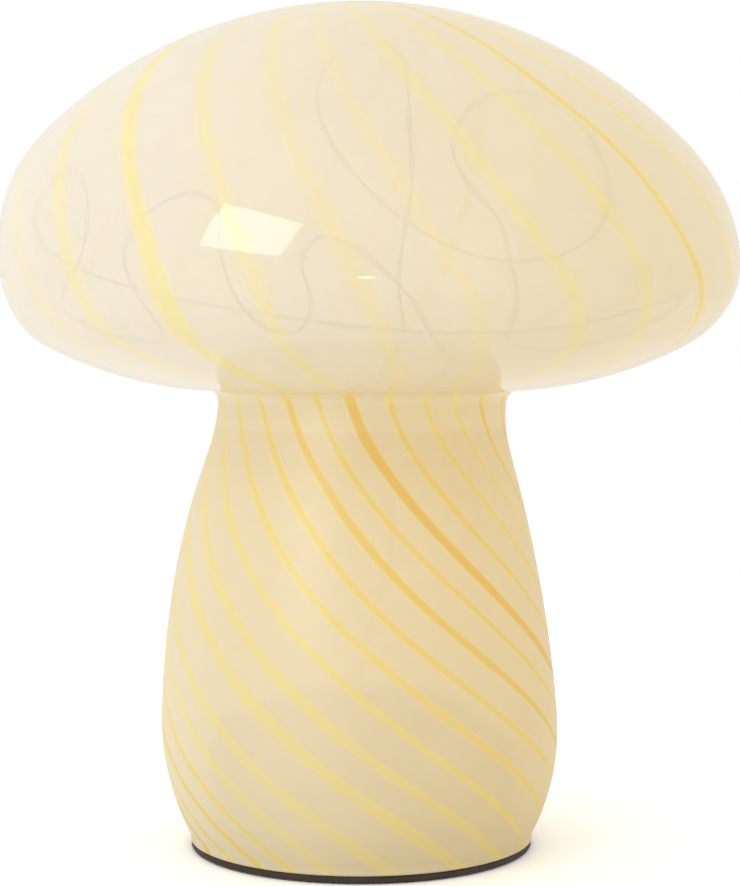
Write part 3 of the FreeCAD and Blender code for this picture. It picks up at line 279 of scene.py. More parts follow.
def glass_arcs(inset):
    """The outline's arcs from crown to foot, set in from the outer surface: centre, radius, start, end."""
    top = Vector((0, HEIGHT - inset))
    widest = Vector((CAP_RADIUS - inset, HEIGHT - CAP_RISE))
    brow_arc = BROW_ARC - inset
    brow = widest - Vector((brow_arc, 0))
    rise = top.y - brow.y
    crown_arc = (brow.x ** 2 + rise ** 2 - brow_arc ** 2) / (2 * (rise - brow_arc))
    crown = top - Vector((0, crown_arc))
    lip_arc = LIP_ARC - inset
    lip = widest - Vector((lip_arc, 0))
    neck = Vector((NECK_RADIUS - inset, HEIGHT - CAP_RISE - NECK_DROP))
    neck_arc = NECK_ARC + inset
    neck_centre = neck + Vector((neck_arc, 0))
    under_arc = UNDER_ARC - inset
    under = meet(lip, under_arc - lip_arc, neck_centre, under_arc + neck_arc)
    shoulder_arc = SHOULDER_ARC + inset
    shoulder = neck + Vector((shoulder_arc, 0))
    belly = Vector((BELLY_RADIUS - inset, BELLY_LEVEL))
    belly_arc = BELLY_ARC - inset
    belly_centre = belly - Vector((belly_arc, 0))
    turn = math.radians(BELLY_TURN)
    outward = Vector((math.cos(turn), math.sin(turn)))
    belly_end = belly_centre + outward * belly_arc
    gap = belly_end - shoulder
    side_arc = (gap.dot(gap) - shoulder_arc ** 2) / (2 * (shoulder_arc + gap.dot(outward)))
    side = belly_end - outward * side_arc
    heel_arc = HEEL_ARC - inset
    heel = belly - Vector((heel_arc, 0))
    crease_arc = CREASE_ARC + inset
    foot = BELLY_RADIUS - FOOT_INSET - inset
    drop = math.sqrt((heel_arc + crease_arc) ** 2 - (foot + crease_arc - heel.x) ** 2)
    crease = Vector((foot + crease_arc, heel.y - drop))
    centres = [crown, brow, lip, under, neck_centre, shoulder, side, belly_centre, heel, crease]
    radii = [crown_arc, brow_arc, lip_arc, under_arc, neck_arc, shoulder_arc, side_arc, belly_arc, heel_arc,
             crease_arc]
    joints = [
        top,
        crown + (brow - crown).normalized() * crown_arc,
        widest,
        under + (lip - under).normalized() * under_arc,
        under + (neck_centre - under).normalized() * under_arc,
        neck,
        shoulder + (side - shoulder).normalized() * shoulder_arc,
        belly_end,
        belly,
        heel + (crease - heel).normalized() * heel_arc,
        Vector((foot, crease.y)),
    ]
    return list(zip(centres, radii, joints, joints[1:]))


def glass_profile(inset, step):
    """Radius, level and arc length of points along the outline, in millimetres, and the foot's edge."""
    spots = []
    for centre, radius, start, end in glass_arcs(inset):
        first = math.atan2(start.y - centre.y, start.x - centre.x)
        sweep = math.atan2(end.y - centre.y, end.x - centre.x) - first
        sweep = (sweep + math.pi) % (2 * math.pi) - math.pi
        count = max(2, math.ceil(abs(sweep) * radius / step))
        for index in range(count):
            angle = first + sweep * index / count
            spots.append((centre.x + radius * math.cos(angle), centre.y + radius * math.sin(angle)))
    spots.append(tuple(end))
    spots.append((end.x, (end.y + GLASS_LOW) / 2))
    spots.append((end.x, GLASS_LOW))
    spots = np.array(spots)
    along = np.concatenate([[0.0], np.cumsum(np.hypot(*np.diff(spots, axis=0).T))])
    return spots[:, 0], spots[:, 1], along


# ---------------------------------------------------------------- glass body

# Each cane's turns from the front, in degrees, at the levels below, which are arc lengths from the crown; then
# its width in millimetres and depth of colour in the cap, and the same in the stem.
CANE_LEVELS = (20, 65, 95, 125, 155, 185, 210, 235, 265, 295, 322, 334)
CANES = [
    ((-196, -183, -174.5, -166.5, -157, -150, -144, -123, -92, -56.5, -24, -9.5), 4.0, 0.28, 4.0, 0.34),
    ((-176.5, -163.5, -155, -147, -138, -131, -126, -106, -76.5, -43, -7, 10), 3.8, 0.30, 4.0, 0.38),
    ((-155, -142, -133.5, -125.5, -116.5, -109.5, -104.5, -84.5, -55.5, -21.5, 15.5, 33.5), 4.2, 0.38, 3.6, 0.44),
    ((-138.5, -125, -117, -108.5, -99.5, -92.5, -87.5, -68, -40, -5.5, 33, 51), 3.8, 0.30, 3.2, 0.44),
    ((-121, -107.5, -99, -91, -81.5, -75, -70.5, -51.5, -23.5, 12.5, 50.5, 68.5), 4.2, 0.34, 2.3, 0.5),
    ((-106, -92.5, -84.5, -76.5, -68, -62, -57, -36.5, -8, 29.5, 70, 88), 3.6, 0.3, 2.4, 0.6),
    ((-93, -80, -71.5, -63.5, -54.5, -47.5, -42, -22, 7, 46, 88.5, 108), 3.8, 0.26, 2.1, 0.66),
    ((-78, -64, -55.5, -48.5, -43.5, -36, -29, -8.5, 22, 63.5, 106, 125.5), 4.2, 0.34, 2.5, 0.85),
    ((-72, -53.5, -40.5, -32.5, -28, -22.5, -17, 3.5, 37, 79.5, 122.5, 142), 5, 0.52, 1.9, 0.7),
    ((-50, -35, -25.5, -18.5, -13, -8.5, -4.5, 16, 50.5, 93.5, 136.5, 156), 4, 0.34, 2.8, 1),
    ((-32.5, -19.5, -12.5, -5.5, 2.5, 7.5, 10.5, 30, 66, 109, 152.5, 172), 4.5, 0.25, 2, 0.7),
    ((-21.5, -8.5, -1, 7, 17.5, 22.5, 24.5, 45.5, 82.5, 127, 171.5, 192), 3.8, 0.22, 1.8, 0.62),
    ((-8, 4.5, 12, 21, 34, 37, 37, 59.5, 97.5, 142.5, 187.5, 207.5), 4.1, 0.34, 1.4, 0.58),
    ((5.5, 18.5, 26, 36, 47, 50, 52, 73, 107.5, 149.5, 192.5, 212), 3.9, 0.34, 1.8, 0.85),
    ((15, 29.5, 38, 48.5, 63.5, 70, 72, 91, 122, 163, 205, 224), 3.3, 0.74, 2.3, 0.85),
    ((27, 41.5, 51, 63, 75, 81.5, 85, 105, 137, 178, 220, 239), 3, 0.52, 2.4, 0.85),
    ((42, 56.5, 66, 77.5, 89, 95.5, 99.5, 119.5, 151.5, 192, 233, 251.5), 3.8, 0.46, 2.1, 0.75),
    ((57.5, 71.5, 80.5, 92, 103.5, 110, 114, 134.5, 166, 206, 245.5, 264), 4.2, 0.55, 2.6, 0.9),
    ((72.5, 86.5, 95.5, 106.5, 117.5, 124, 128.5, 149, 180.5, 220, 258.5, 276), 3.6, 0.4, 1.9, 0.75),
    ((88, 102, 110.5, 121, 131.5, 138.5, 143, 163.5, 195, 233.5, 271.5, 288.5), 4, 0.5, 2.4, 0.85),
    ((103, 117, 125.5, 135.5, 146, 153, 157.5, 178.5, 210, 247.5, 284.5, 301), 4.4, 0.36, 2.8, 0.95),
    ((118.5, 132, 140.5, 150, 160, 167, 172, 193, 224.5, 261.5, 297, 313.5), 3.6, 0.45, 2.1, 0.75),
    ((133.5, 147, 155.5, 164.5, 174.5, 181.5, 186.5, 207.5, 239, 275.5, 310, 326), 4.2, 0.5, 2.4, 0.8),
    ((148.5, 162, 170.5, 179, 188.5, 196, 201.5, 222, 253.5, 289.5, 323, 338.5), 3.8, 0.36, 2.3, 0.65),
]
# The blown body leans a little off its axis: level and sideways shift, in millimetres.
SWAY = [(0, 0), (118, 0), (125, 0.5), (133, 1.0), (139, 1.3), (150, 2.3), (163, 2.1), (177, 1.0), (191, -0.1),
        (205, -0.4), (215, -0.2), (224, 0.0), (229.5, 0.3)]
# The ripples of blown glass: height and length, and the levels over which they and the sway set in.
RIPPLE = 0.10
RIPPLE_LENGTH = 34.0
FREE_LEVELS = (4.0, 30.0)
COLUMNS = 256
OUTER_STEP, INNER_STEP = 1.9, 3.2
# The widest cane that the canes' table can hold.
CANE_UNIT = 8.0


def smooth_step(value, low, high):
    share = np.clip((value - low) / (high - low), 0.0, 1.0)
    return share * share * (3 - 2 * share)


def smooth_curve(pairs, at):
    """A smooth line through the given points, read at the given places."""
    x, y = np.array(pairs, float).T
    slope = np.gradient(y, x)
    k = np.clip(np.searchsorted(x, at) - 1, 0, len(x) - 2)
    h = x[k + 1] - x[k]
    t = np.clip((at - x[k]) / h, 0.0, 1.0)
    return ((1 + 2 * t) * (1 - t) ** 2 * y[k] + t * (1 - t) ** 2 * h * slope[k]
            + t * t * (3 - 2 * t) * y[k + 1] + t * t * (t - 1) * h * slope[k + 1])


def cane_places(along):
    """The canes' turns, in degrees, at each point along the outline: one row a point."""
    return np.array([smooth_curve(list(zip(CANE_LEVELS, cane[0])), along) for cane in CANES]).T


def cane_index(turns, places):
    """Where each turn lies between the canes: 7.0 is on cane 7, and the count runs on round the body."""
    count = len(places)
    base = places[0]
    reach = np.concatenate([places, [base + 360.0]])
    return np.interp((turns - base) % 360.0 + base, reach, np.arange(count + 1.0))


def wall_points(radius, level):
    """The turned outline as rows of points, with the sway and the ripples of blown glass."""
    turn = np.arange(COLUMNS) * 2 * math.pi / COLUMNS
    sway = smooth_curve(SWAY, level)
    free = smooth_step(level, *FREE_LEVELS)
    points = np.zeros((len(radius), COLUMNS, 3))
    for row in range(len(radius)):
        for column in range(COLUMNS):
            x = radius[row] * math.sin(turn[column])
            y = -radius[row] * math.cos(turn[column])
            wave = noise.noise(Vector((x, y, level[row])) / RIPPLE_LENGTH)
            grow = 1.0 + RIPPLE * free[row] * wave / max(radius[row], 6.0)
            points[row, column] = (x * grow + sway[row] * free[row], y * grow, level[row])
    return points * MM, np.degrees(turn)


def shell_faces(rows, inner_rows, start):
    """Faces of the outer wall, the foot and the inner wall, and whether each is of the lining (1) or not (0)."""

    def at(row, column):
        return 1 + row * COLUMNS + column % COLUMNS

    def inside(row, column):
        return start + at(row, column)

    faces, kinds = [], []
    for column in range(COLUMNS):
        faces.append((0, at(0, column + 1), at(0, column)))
        kinds.append(0)
    for row in range(rows - 1):
        for column in range(COLUMNS):
            faces.append((at(row, column), at(row, column + 1), at(row + 1, column + 1), at(row + 1, column)))
            kinds.append(0)
    for column in range(COLUMNS):
        faces.append((at(rows - 1, column), at(rows - 1, column + 1),
                      inside(inner_rows - 1, column + 1), inside(inner_rows - 1, column)))
        kinds.append(0)
        faces.append((start, inside(0, column), inside(0, column + 1)))
        kinds.append(1)
    for row in range(inner_rows - 1):
        for column in range(COLUMNS):
            faces.append((inside(row, column), inside(row + 1, column),
                          inside(row + 1, column + 1), inside(row, column + 1)))
            kinds.append(1)
    return [face[::-1] for face in faces], kinds


def lay_canes(mesh, rows, radius, along, turns):
    """Give the outer wall the canes' own coordinates: across, one unit a cane, and down, along the outline."""
    places = cane_places(along)
    count = len(CANES)
    index = np.zeros(len(mesh.vertices))
    down = np.zeros(len(mesh.vertices))
    pitch = np.full(len(mesh.vertices), 0.01)
    slope = np.gradient(np.radians(places[:, 0]), along)
    lean = np.cos(np.arctan(radius * slope))
    for row in range(rows):
        line = places[row + 1]
        spacing = np.gradient(np.concatenate([[line[-1] - 360.0], line, [line[0] + 360.0]]))[1:-1]
        here = cane_index(turns, line)
        first = 1 + row * COLUMNS
        index[first:first + COLUMNS] = here
        down[first:first + COLUMNS] = along[row + 1]
        wide = np.interp(here, np.arange(count + 1.0), np.append(spacing, spacing[0]))
        pitch[first:first + COLUMNS] = np.radians(wide) * radius[row + 1] * lean[row + 1]
    corners = np.zeros(len(mesh.loops), int)
    mesh.loops.foreach_get("vertex_index", corners)
    coords = np.zeros((len(corners), 2))
    cursor = 0
    for polygon in mesh.polygons:
        # all corners of a face count from the same cane, also where the count starts again
        own = corners[cursor:cursor + polygon.loop_total]
        value = index[own].copy()
        anchor = value[0] if own[0] != 0 else value[1]
        value -= count * np.round((value - anchor) / count)
        tip = own == 0
        if tip.any():
            value[tip] = value[~tip].mean()
        coords[cursor:cursor + len(own), 0] = (value + 0.5) / count
        coords[cursor:cursor + len(own), 1] = down[own] / along[-1]
        cursor += len(own)
    layer = mesh.uv_layers.new(name="canes")
    layer.data.foreach_set("uv", coords.ravel())
    attribute = mesh.attributes.new("cane_pitch", "FLOAT", "POINT")
    attribute.data.foreach_set("value", pitch.astype(np.float32))
    mesh.update()


def make_glass():
    radius, level, along = glass_profile(0.0, OUTER_STEP)
    inner_radius, inner_level, _ = glass_profile(GLASS_WALL, INNER_STEP)
    outer, turns = wall_points(radius[1:], level[1:])
    inner, _ = wall_points(inner_radius[1:], inner_level[1:])
    points = [(0, 0, level[0] * MM)] + [tuple(spot) for spot in outer.reshape(-1, 3)]
    start = len(points)
    points += [(0, 0, inner_level[0] * MM)] + [tuple(spot) for spot in inner.reshape(-1, 3)]
    faces, kinds = shell_faces(len(outer), len(inner), start)
    mesh = bpy.data.meshes.new("glass_shell")
    mesh.from_pydata(points, [], faces)
    mesh.polygons.foreach_set("material_index", kinds)
    mesh.polygons.foreach_set("use_smooth", [True] * len(faces))
    lay_canes(mesh, len(outer), radius, along, turns)
    item = bpy.data.objects.new("glass_shell", mesh)
    scene.collection.objects.link(item)
    mesh.materials.append(milky_glass(along[-1]))
    mesh.materials.append(glass_lining())
    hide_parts("glass_body")
    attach(item, LAMP)


# Milk at the lamp's left and right, in the cap and in the stem: the paler left and the deeper amber right are
# painted light and shade, and the stem's darker milk is partly its own colour and partly painted shade under the
# cap; what thin and then deep canes do to it.
MILK_CAP_LIT_TO_SHADED = ((0.940, 0.880, 0.755), (0.900, 0.780, 0.535))
MILK_STEM_LIT_TO_SHADED = ((0.930, 0.835, 0.620), (0.890, 0.710, 0.375))
CANE_YELLOW = (1.03, 1.0, 0.62)
CANE_AMBER = (0.96, 0.79, 0.52)
# The level above which the top of the stem is painted paler, a painted reflection of the cap's underside, and the
# width of its edge.
NECK_REFLECTION_LEVEL, NECK_REFLECTION_EDGE = 0.1152, 0.0004
# How much is seen through the glass in the cap and in the stem, and the share of light that glows through it.
SEE_CAP, SEE_STEM = 0.21, 0.12
THROUGH = 0.25
# Arc lengths from the crown between which the cap's look gives way to the stem's.
STEM_START = (203.0, 212.0)
STEM_ROUGH = 0.42
# Softness of a cane's edges in the cap and in the stem, how far it wavers to either side, how its width swells,
# and the largest share of the space between canes that its half width takes; lengths in millimetres.
SOFT_CAP, SOFT_STEM = 1.25, 0.55
CANE_WAVER = 0.5
CANE_SWELL = (0.8, 1.18)
CANE_SHARE = 0.34


def cane_mask(shader, length):
    """How much of a cane covers a point, and whether it is in the stem, both from 0 to 1."""
    count = len(CANES)
    coords = shader.add("SeparateXYZ", Vector=shader.add("UVMap", {"uv_map": "canes"}).outputs[0]).outputs
    across = shader.math("MULTIPLY", coords["X"], float(count))
    down = coords["Y"]
    own = shader.math("FLOOR", across)
    beside = shader.math("SUBTRACT", shader.math("FRACT", across), 0.5)
    number = shader.math("FRACT", shader.math("DIVIDE", shader.math("ADD", own, 0.5), float(count)))
    table = shader.add("ValToRGB", Fac=number)
    ramp = table.color_ramp
    ramp.interpolation = "CONSTANT"
    while len(ramp.elements) < count:
        ramp.elements.new(1.0)
    for place, (_, cap_wide, cap_deep, stem_wide, stem_deep) in enumerate(CANES):
        stop = ramp.elements[place]
        stop.position = place / count
        stop.color = (cap_wide / CANE_UNIT, cap_deep, stem_wide / CANE_UNIT, stem_deep)
    parts = shader.add("SeparateColor", Color=table.outputs["Color"]).outputs
    stem = shader.spread(down, STEM_START[0] / length, STEM_START[1] / length, smooth=True)
    pitch = shader.add("Attribute", {"attribute_name": "cane_pitch"}).outputs["Fac"]
    wide = shader.math("MULTIPLY", shader.blend(stem, parts["Red"], parts["Blue"]), CANE_UNIT / 2)
    deep = shader.blend(stem, parts["Green"], table.outputs["Alpha"])
    line = shader.add("CombineXYZ", X=shader.math("MULTIPLY", number, 61.0),
                      Y=shader.math("MULTIPLY", down, 6.0))
    waver = shader.cloud(1.6, 2.0, at=line.outputs[0])
    swell = shader.spread(shader.cloud(2.7, 3.0, at=line.outputs[0]), 0.3, 0.7, *CANE_SWELL)
    half = shader.math("MINIMUM", shader.math("MULTIPLY", wide, swell), shader.math("MULTIPLY", pitch, CANE_SHARE))
    aside = shader.spread(waver, 0.0, 1.0, -CANE_WAVER, CANE_WAVER)
    away = shader.math("ABSOLUTE", shader.math("ADD", shader.math("MULTIPLY", beside, pitch), aside))
    soft = shader.blend(stem, SOFT_CAP, SOFT_STEM)
    low, high = shader.math("SUBTRACT", half, soft), shader.math("ADD", half, soft)
    inside = shader.spread(away, low, high, 1.0, 0.0, smooth=True)
    return shader.math("MULTIPLY", inside, deep), stem


def milky_glass(length):
    """Cased glass: a milky body with amber canes on its face, painted paler on the lit left and deeper amber on
    the shaded right, with a painted reflection as a paler band at the top of the stem.
    """
    material, shader = new_material("milky_glass_canes")
    mask, stem = cane_mask(shader, length)
    place = shader.add("TexCoord").outputs["Object"]
    spot = shader.add("SeparateXYZ", Vector=place).outputs
    # painted light and shade: paler milk on the lit left, deeper amber milk on the shaded right, and darker milk
    # in the stem partly as painted shade under the cap
    painted_shade_share = shader.spread(spot["X"], -0.09, 0.095, smooth=True)
    milk = shader.tint(stem, shader.tint(painted_shade_share, *MILK_CAP_LIT_TO_SHADED), shader.tint(painted_shade_share, *MILK_STEM_LIT_TO_SHADED))
    mottle = shader.spread(shader.cloud(38.0, 4.0, 0.6), 0.35, 0.7)
    milk = shader.tint(shader.math("MULTIPLY", mottle, 0.22), milk, (0.95, 0.91, 0.83), how="MULTIPLY")
    # painted reflection: the top of the stem under the cap is made paler, standing in for the cap's underside seen
    # in its gloss
    painted_neck_reflection = shader.spread(spot["Z"], NECK_REFLECTION_LEVEL - NECK_REFLECTION_EDGE, NECK_REFLECTION_LEVEL + NECK_REFLECTION_EDGE)
    milk = shader.tint(shader.math("MULTIPLY", painted_neck_reflection, stem), milk, (1.03, 1.05, 1.10), how="MULTIPLY")
    colour = shader.tint(shader.spread(mask, 0.0, 0.5), milk, CANE_YELLOW, how="MULTIPLY")
    colour = shader.tint(shader.spread(mask, 0.5, 1.0), colour, CANE_AMBER, how="MULTIPLY")
    ripple = shader.cloud(120.0, 2.0)
    height = shader.math("ADD", shader.math("MULTIPLY", mask, 0.5), shader.math("MULTIPLY", ripple, 0.25))
    normal = shader.bump(height, 0.00006)
    rough = shader.spread(shader.cloud(60.0, 3.0), 0.3, 0.7, 0.035, 0.075)
    rough = shader.blend(stem, rough, STEM_ROUGH)
    face = shader.add("BsdfPrincipled", Base_Color=colour, Roughness=rough, IOR=1.5, Normal=normal).outputs[0]
    through = shader.add("BsdfTranslucent", Color=colour, Normal=normal).outputs[0]
    body = shader.add("MixShader", Fac=THROUGH)
    shader.feed(body.inputs[1], face)
    shader.feed(body.inputs[2], through)
    clear = shader.add("BsdfTransparent", Color=(1.0, 0.985, 0.95)).outputs[0]
    edge = shader.add("LayerWeight", Blend=0.35).outputs["Facing"]
    see = shader.blend(stem, SEE_CAP, SEE_STEM)
    see = shader.math("MULTIPLY", see, shader.spread(mask, 0.0, 0.6, 1.0, 0.35))
    see = shader.math("MULTIPLY", see, shader.spread(shader.cloud(22.0, 3.0), 0.3, 0.7, 0.8, 1.2))
    see = shader.math("MULTIPLY", see, shader.spread(edge, 0.2, 0.9, 1.0, 0.0))
    out = shader.add("MixShader", Fac=see)
    shader.feed(out.inputs[1], body.outputs[0])
    shader.feed(out.inputs[2], clear)
    shader.finish(out.outputs[0])
    return material


def glass_lining():
    """The glass's inner face: nearly clear, with a faint milky bloom."""
    material, shader = new_material("glass_lining")
    bloom = shader.spread(shader.cloud(30.0, 3.0), 0.3, 0.7, 0.04, 0.12)
    clear = shader.add("BsdfTransparent").outputs[0]
    milk = shader.tint(shader.cloud(55.0, 3.0), (0.90, 0.85, 0.72), (0.84, 0.78, 0.62))
    face = shader.add("BsdfPrincipled", Base_Color=milk, Roughness=0.12).outputs[0]
    out = shader.add("MixShader", Fac=bloom)
    shader.feed(out.inputs[1], clear)
    shader.feed(out.inputs[2], face)
    shader.finish(out.outputs[0])
    return material


make_glass()

# ---------------------------------------------------------------- LED string and leads

STRING_ROUTE = [
    (29, -4.5, 7.7), (29, -4.5, 13), (26.5, -4, 19.5), (19, -3, 25), (9, -1.5, 27), (0, 0, 31.5), (0, 0, 47),
    (1, -6, 57), (3.5, -18.5, 66.5), (7, -32, 75.5), (8, -41, 87), (7, -33.5, 99), (4, -22, 110),
    (3, -17, 121), (5, -26, 130.5),
    (8, -46, 135.5), (10, -66, 138.5), (10.5, -82, 144), (8.5, -92, 153), (10.5, -94, 165),
    (12.5, -90.5, 177), (11.5, -81.5, 190), (12, -64, 204),
    (9, -36, 214.5), (0, -6, 219), (-12, 26, 216), (-14, 56, 205), (-4, 78, 190), (14, 87, 174),
    (36, 82, 163), (58, 68, 162), (72, 46, 171), (70, 18, 187),
    (56, -12, 200), (40, -42, 203), (26, -68, 196.5), (20.5, -84.5, 184.5), (25.5, -88.8, 174.5),
    (33.5, -87.6, 167), (34.3, -88.2, 159), (37, -85.8, 152), (37, -80, 144.5), (35, -72, 140),
    (38.5, -59, 137), (52, -46, 136.5), (68, -34, 140), (82, -18, 146), (90, 4, 152), (84, 28, 149),
    (68, 48, 143.5), (46, 64, 140.5), (20, 74, 140.5), (-8, 80, 143), (-36, 76, 147), (-62, 62, 152),
    (-81, 40, 158), (-90, 12, 165), (-87, -16, 174), (-76, -40, 183), (-68, -55, 180), (-66, -65.5, 170),
    (-67, -66, 160.5), (-73, -58.5, 152.5), (-76, -45, 146), (-66, -35, 140.5), (-52, -40, 138),
    (-48, -56, 140), (-52.5, -73, 148.5), (-57.5, -74.5, 158.5), (-54, -66, 169), (-42, -64, 176),
    (-33, -76, 172), (-33, -88, 161.5), (-30, -85.5, 149.5), (-23, -75, 141.5), (-14, -77, 140.5),
    (-10.5, -87.5, 148), (-14.5, -93, 158), (-9, -93.5, 164.5), (0, -91, 160.5), (8, -87, 153.5),
    (13.5, -86, 147.5), (16, -81, 141.8), (19.5, -71.5, 137.5), (22, -59, 134.8), (25, -45, 133.5),
]
RED_ROUTE = [
    (-10.8, 24.9, 17), (-10.8, 24.9, 21), (-6, 23, 24.5), (3, 19, 24.5), (11, 13.5, 22.5), (17, 7.5, 19),
    (20.8, 3.4, 14), (20.8, 3.4, 7.7),
]
BLACK_ROUTE = [
    (10.8, -24.9, 17), (10.8, -24.9, 21), (13.5, -21.5, 24), (18.5, -16.5, 22), (22.5, -12.5, 18),
    (24.5, -10.6, 12.5), (24.5, -10.6, 7.7),
]
LEAD_RADIUS = 0.6
# Each strand's radius, its distance from the line, and the length of one twist, with how unevenly it twists.
STRAND_RADIUS = 0.15
STRAND_APART = 0.42
STRAND_PITCH = 31.0
TWIST_WANDER, WANDER_LENGTH = 2.2, 37.0
STRING_LENGTH = 1507.0
BEAD_COUNT = 18
BEAD_FIRST = 115.0
BEAD_WIDE, BEAD_LONG = 2.3, 3.7
BEAD_FLAT, BEAD_TAPER, BEAD_LEAN = 0.86, 0.22, 0.10
BEAD_SEED = 7
CHIP_SIDE, CHIP_ROUND = 0.7, 0.07


def smooth_line(name, route):
    """A curve object with one NURBS spline whose control points are the route's."""
    data = bpy.data.curves.new(name, "CURVE")
    data.dimensions = "3D"
    spline = data.splines.new("NURBS")
    spline.points.add(len(route) - 1)
    for point, place in zip(spline.points, route):
        point.co = (*(value * MM for value in place), 1.0)
    spline.order_u = 3
    spline.use_endpoint_u = True
    data.resolution_u = 12
    item = bpy.data.objects.new(name, data)
    scene.collection.objects.link(item)
    return item


def line_points(item):
    """The points that a curve with no bevel gives, as an array."""
    bpy.context.view_layer.update()
    mesh = bpy.data.meshes.new_from_object(item.evaluated_get(bpy.context.evaluated_depsgraph_get()))
    points = np.array([tuple(vertex.co) for vertex in mesh.vertices])
    bpy.data.meshes.remove(mesh)
    return points


def carried_frames(points):
    """Unit tangents and two normals that turn as little as they can along the points."""
    ways = np.gradient(points, axis=0)
    ways /= np.linalg.norm(ways, axis=1)[:, None]
    side = np.cross(ways[0], (0.3, 0.9, 0.1))
    sides = []
    for way in ways:
        side = side - way * side.dot(way)
        side = side / np.linalg.norm(side)
        sides.append(side)
    sides = np.array(sides)
    return ways, sides, np.cross(ways, sides)


def tube_mesh(name, lines, radius, sides=8):
    """Round tubes along lines of points, closed at both ends."""
    points, faces = [], []
    for line in lines:
        ways, first, second = carried_frames(line)
        start = len(points)
        for spot, a, b in zip(line, first, second):
            for step in range(sides):
                angle = 2 * math.pi * step / sides
                points.append(tuple(spot + (a * math.cos(angle) + b * math.sin(angle)) * radius))
        for ring in range(len(line) - 1):
            for step in range(sides):
                here, there = start + ring * sides, start + (ring + 1) * sides
                following = (step + 1) % sides
                faces.append((here + step, here + following, there + following, there + step))
        faces.append(tuple(start + step for step in reversed(range(sides))))
        faces.append(tuple(start + (len(line) - 1) * sides + step for step in range(sides)))
    mesh = bpy.data.meshes.new(name)
    mesh.from_pydata(points, [], faces)
    mesh.polygons.foreach_set("use_smooth", [True] * len(faces))
    mesh.update()
    item = bpy.data.objects.new(name, mesh)
    scene.collection.objects.link(item)
    return item


def finish_piece(item, material, node):
    """Give a piece its material, and put it in its CAD piece's place on the lamp."""
    item.data.materials.append(material)
    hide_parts(node)
    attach(item, LAMP)


def make_strands(centre, along, first, second):
    """Two strands, slowly and unevenly twisted round the string's line."""
    loose = np.array([noise.noise(Vector((distance / WANDER_LENGTH, 4.1, 0.0))) for distance in along])
    angle = 2 * math.pi * along / STRAND_PITCH + TWIST_WANDER * loose
    apart = STRAND_APART * MM * (0.85 + 0.15 * np.cos(along / 23.0))
    aside = (first * np.cos(angle)[:, None] + second * np.sin(angle)[:, None]) * apart[:, None]
    strands = tube_mesh("led_strands", [centre + aside, centre - aside], STRAND_RADIUS * MM, 7)
    finish_piece(strands, copper_wire(), "led_wire")


def make_beads(centre, along, ways, first, second):
    """A drop of resin over each LED, on the line at the share of its length where the bead is."""
    shares = BEAD_FIRST + (STRING_LENGTH - BEAD_WIDE / 2 - BEAD_FIRST) * np.arange(BEAD_COUNT) / (BEAD_COUNT - 1)
    places = shares / STRING_LENGTH * along[-1]
    dice = random.Random(BEAD_SEED)
    drops, chips = bmesh.new(), bmesh.new()
    for place in places:
        row = int(np.clip(np.searchsorted(along, place), 1, len(along) - 2))
        basis = np.array([first[row], second[row], ways[row]]).T
        spot = centre[row] if row < len(along) - 3 else centre[row] - ways[row] * BEAD_LONG * MM / 2
        made = bmesh.ops.create_uvsphere(drops, u_segments=20, v_segments=14, radius=0.5)
        long = BEAD_LONG * dice.uniform(0.9, 1.05)
        lean = dice.uniform(-BEAD_LEAN, BEAD_LEAN)
        for vertex in made["verts"]:
            x, y, z = vertex.co
            taper = 1.0 - BEAD_TAPER * (2 * z) ** 4 + lean * z
            local = np.array([x * BEAD_WIDE * taper, y * BEAD_WIDE * taper * BEAD_FLAT, z * long]) * MM
            vertex.co = Vector(spot + basis @ local)
        made = bmesh.ops.create_cube(chips, size=CHIP_SIDE * MM)
        for vertex in made["verts"]:
            vertex.co = Vector(spot + basis @ np.array(vertex.co * (1.0 if vertex.co.z > 0 else BEAD_FLAT)))
    bmesh.ops.bevel(chips, geom=chips.edges[:], offset=CHIP_ROUND * MM, segments=2, affect="EDGES")
    for name, shape, material, node, slot in (
            ("led_drops", drops, clear_resin(), "led_beads", "clear_resin"),
            ("led_dies", chips, phosphor(), "led_chips", "led_phosphor")):
        mesh = bpy.data.meshes.new(name)
        shape.to_mesh(mesh)
        shape.free()
        mesh.polygons.foreach_set("use_smooth", [name == "led_drops"] * len(mesh.polygons))
        item = bpy.data.objects.new(name, mesh)
        scene.collection.objects.link(item)
        finish_piece(item, material, node)


def make_string():
    route = smooth_line("string_route", STRING_ROUTE)
    centre = line_points(route)
    bpy.data.objects.remove(route)
    steps = np.linalg.norm(np.diff(centre, axis=0), axis=1)
    along = np.concatenate([[0.0], np.cumsum(steps)]) / MM
    ways, first, second = carried_frames(centre)
    make_strands(centre, along, first, second)
    make_beads(centre, along, ways, first, second)


def make_lead(name, route, material, node):
    line = smooth_line(name + "_route", route)
    points = line_points(line)
    bpy.data.objects.remove(line)
    finish_piece(tube_mesh(name, [points], LEAD_RADIUS * MM, 14), material, node)


# ---------------------------------------------------------------- small materials


def plastic(name, colour, rough=0.45, grain=900.0, relief=0.00003, spread=0.16, scale=70.0, level=0.5):
    """Moulded plastic: a fine leathery grain, and slight clouds in its colour and gloss."""
    material, shader = new_material(name)
    clouds = shader.cloud(scale, 3.0, 0.6)
    dark = tuple(value * (1 - spread) for value in colour)
    pale = tuple(min(1.0, value * (1 + spread) + 0.004) for value in colour)
    tone = shader.tint(shader.spread(clouds, 0.3, 0.7), dark, pale)
    gloss = shader.spread(shader.cloud(scale * 3, 2.0), 0.3, 0.7, rough - 0.06, rough + 0.07)
    normal = shader.bump(shader.cloud(grain, 2.0, 0.7), relief)
    face = shader.add("BsdfPrincipled", Base_Color=tone, Roughness=gloss, Specular_IOR_Level=level,
                      Normal=normal)
    shader.finish(face.outputs[0])
    return material


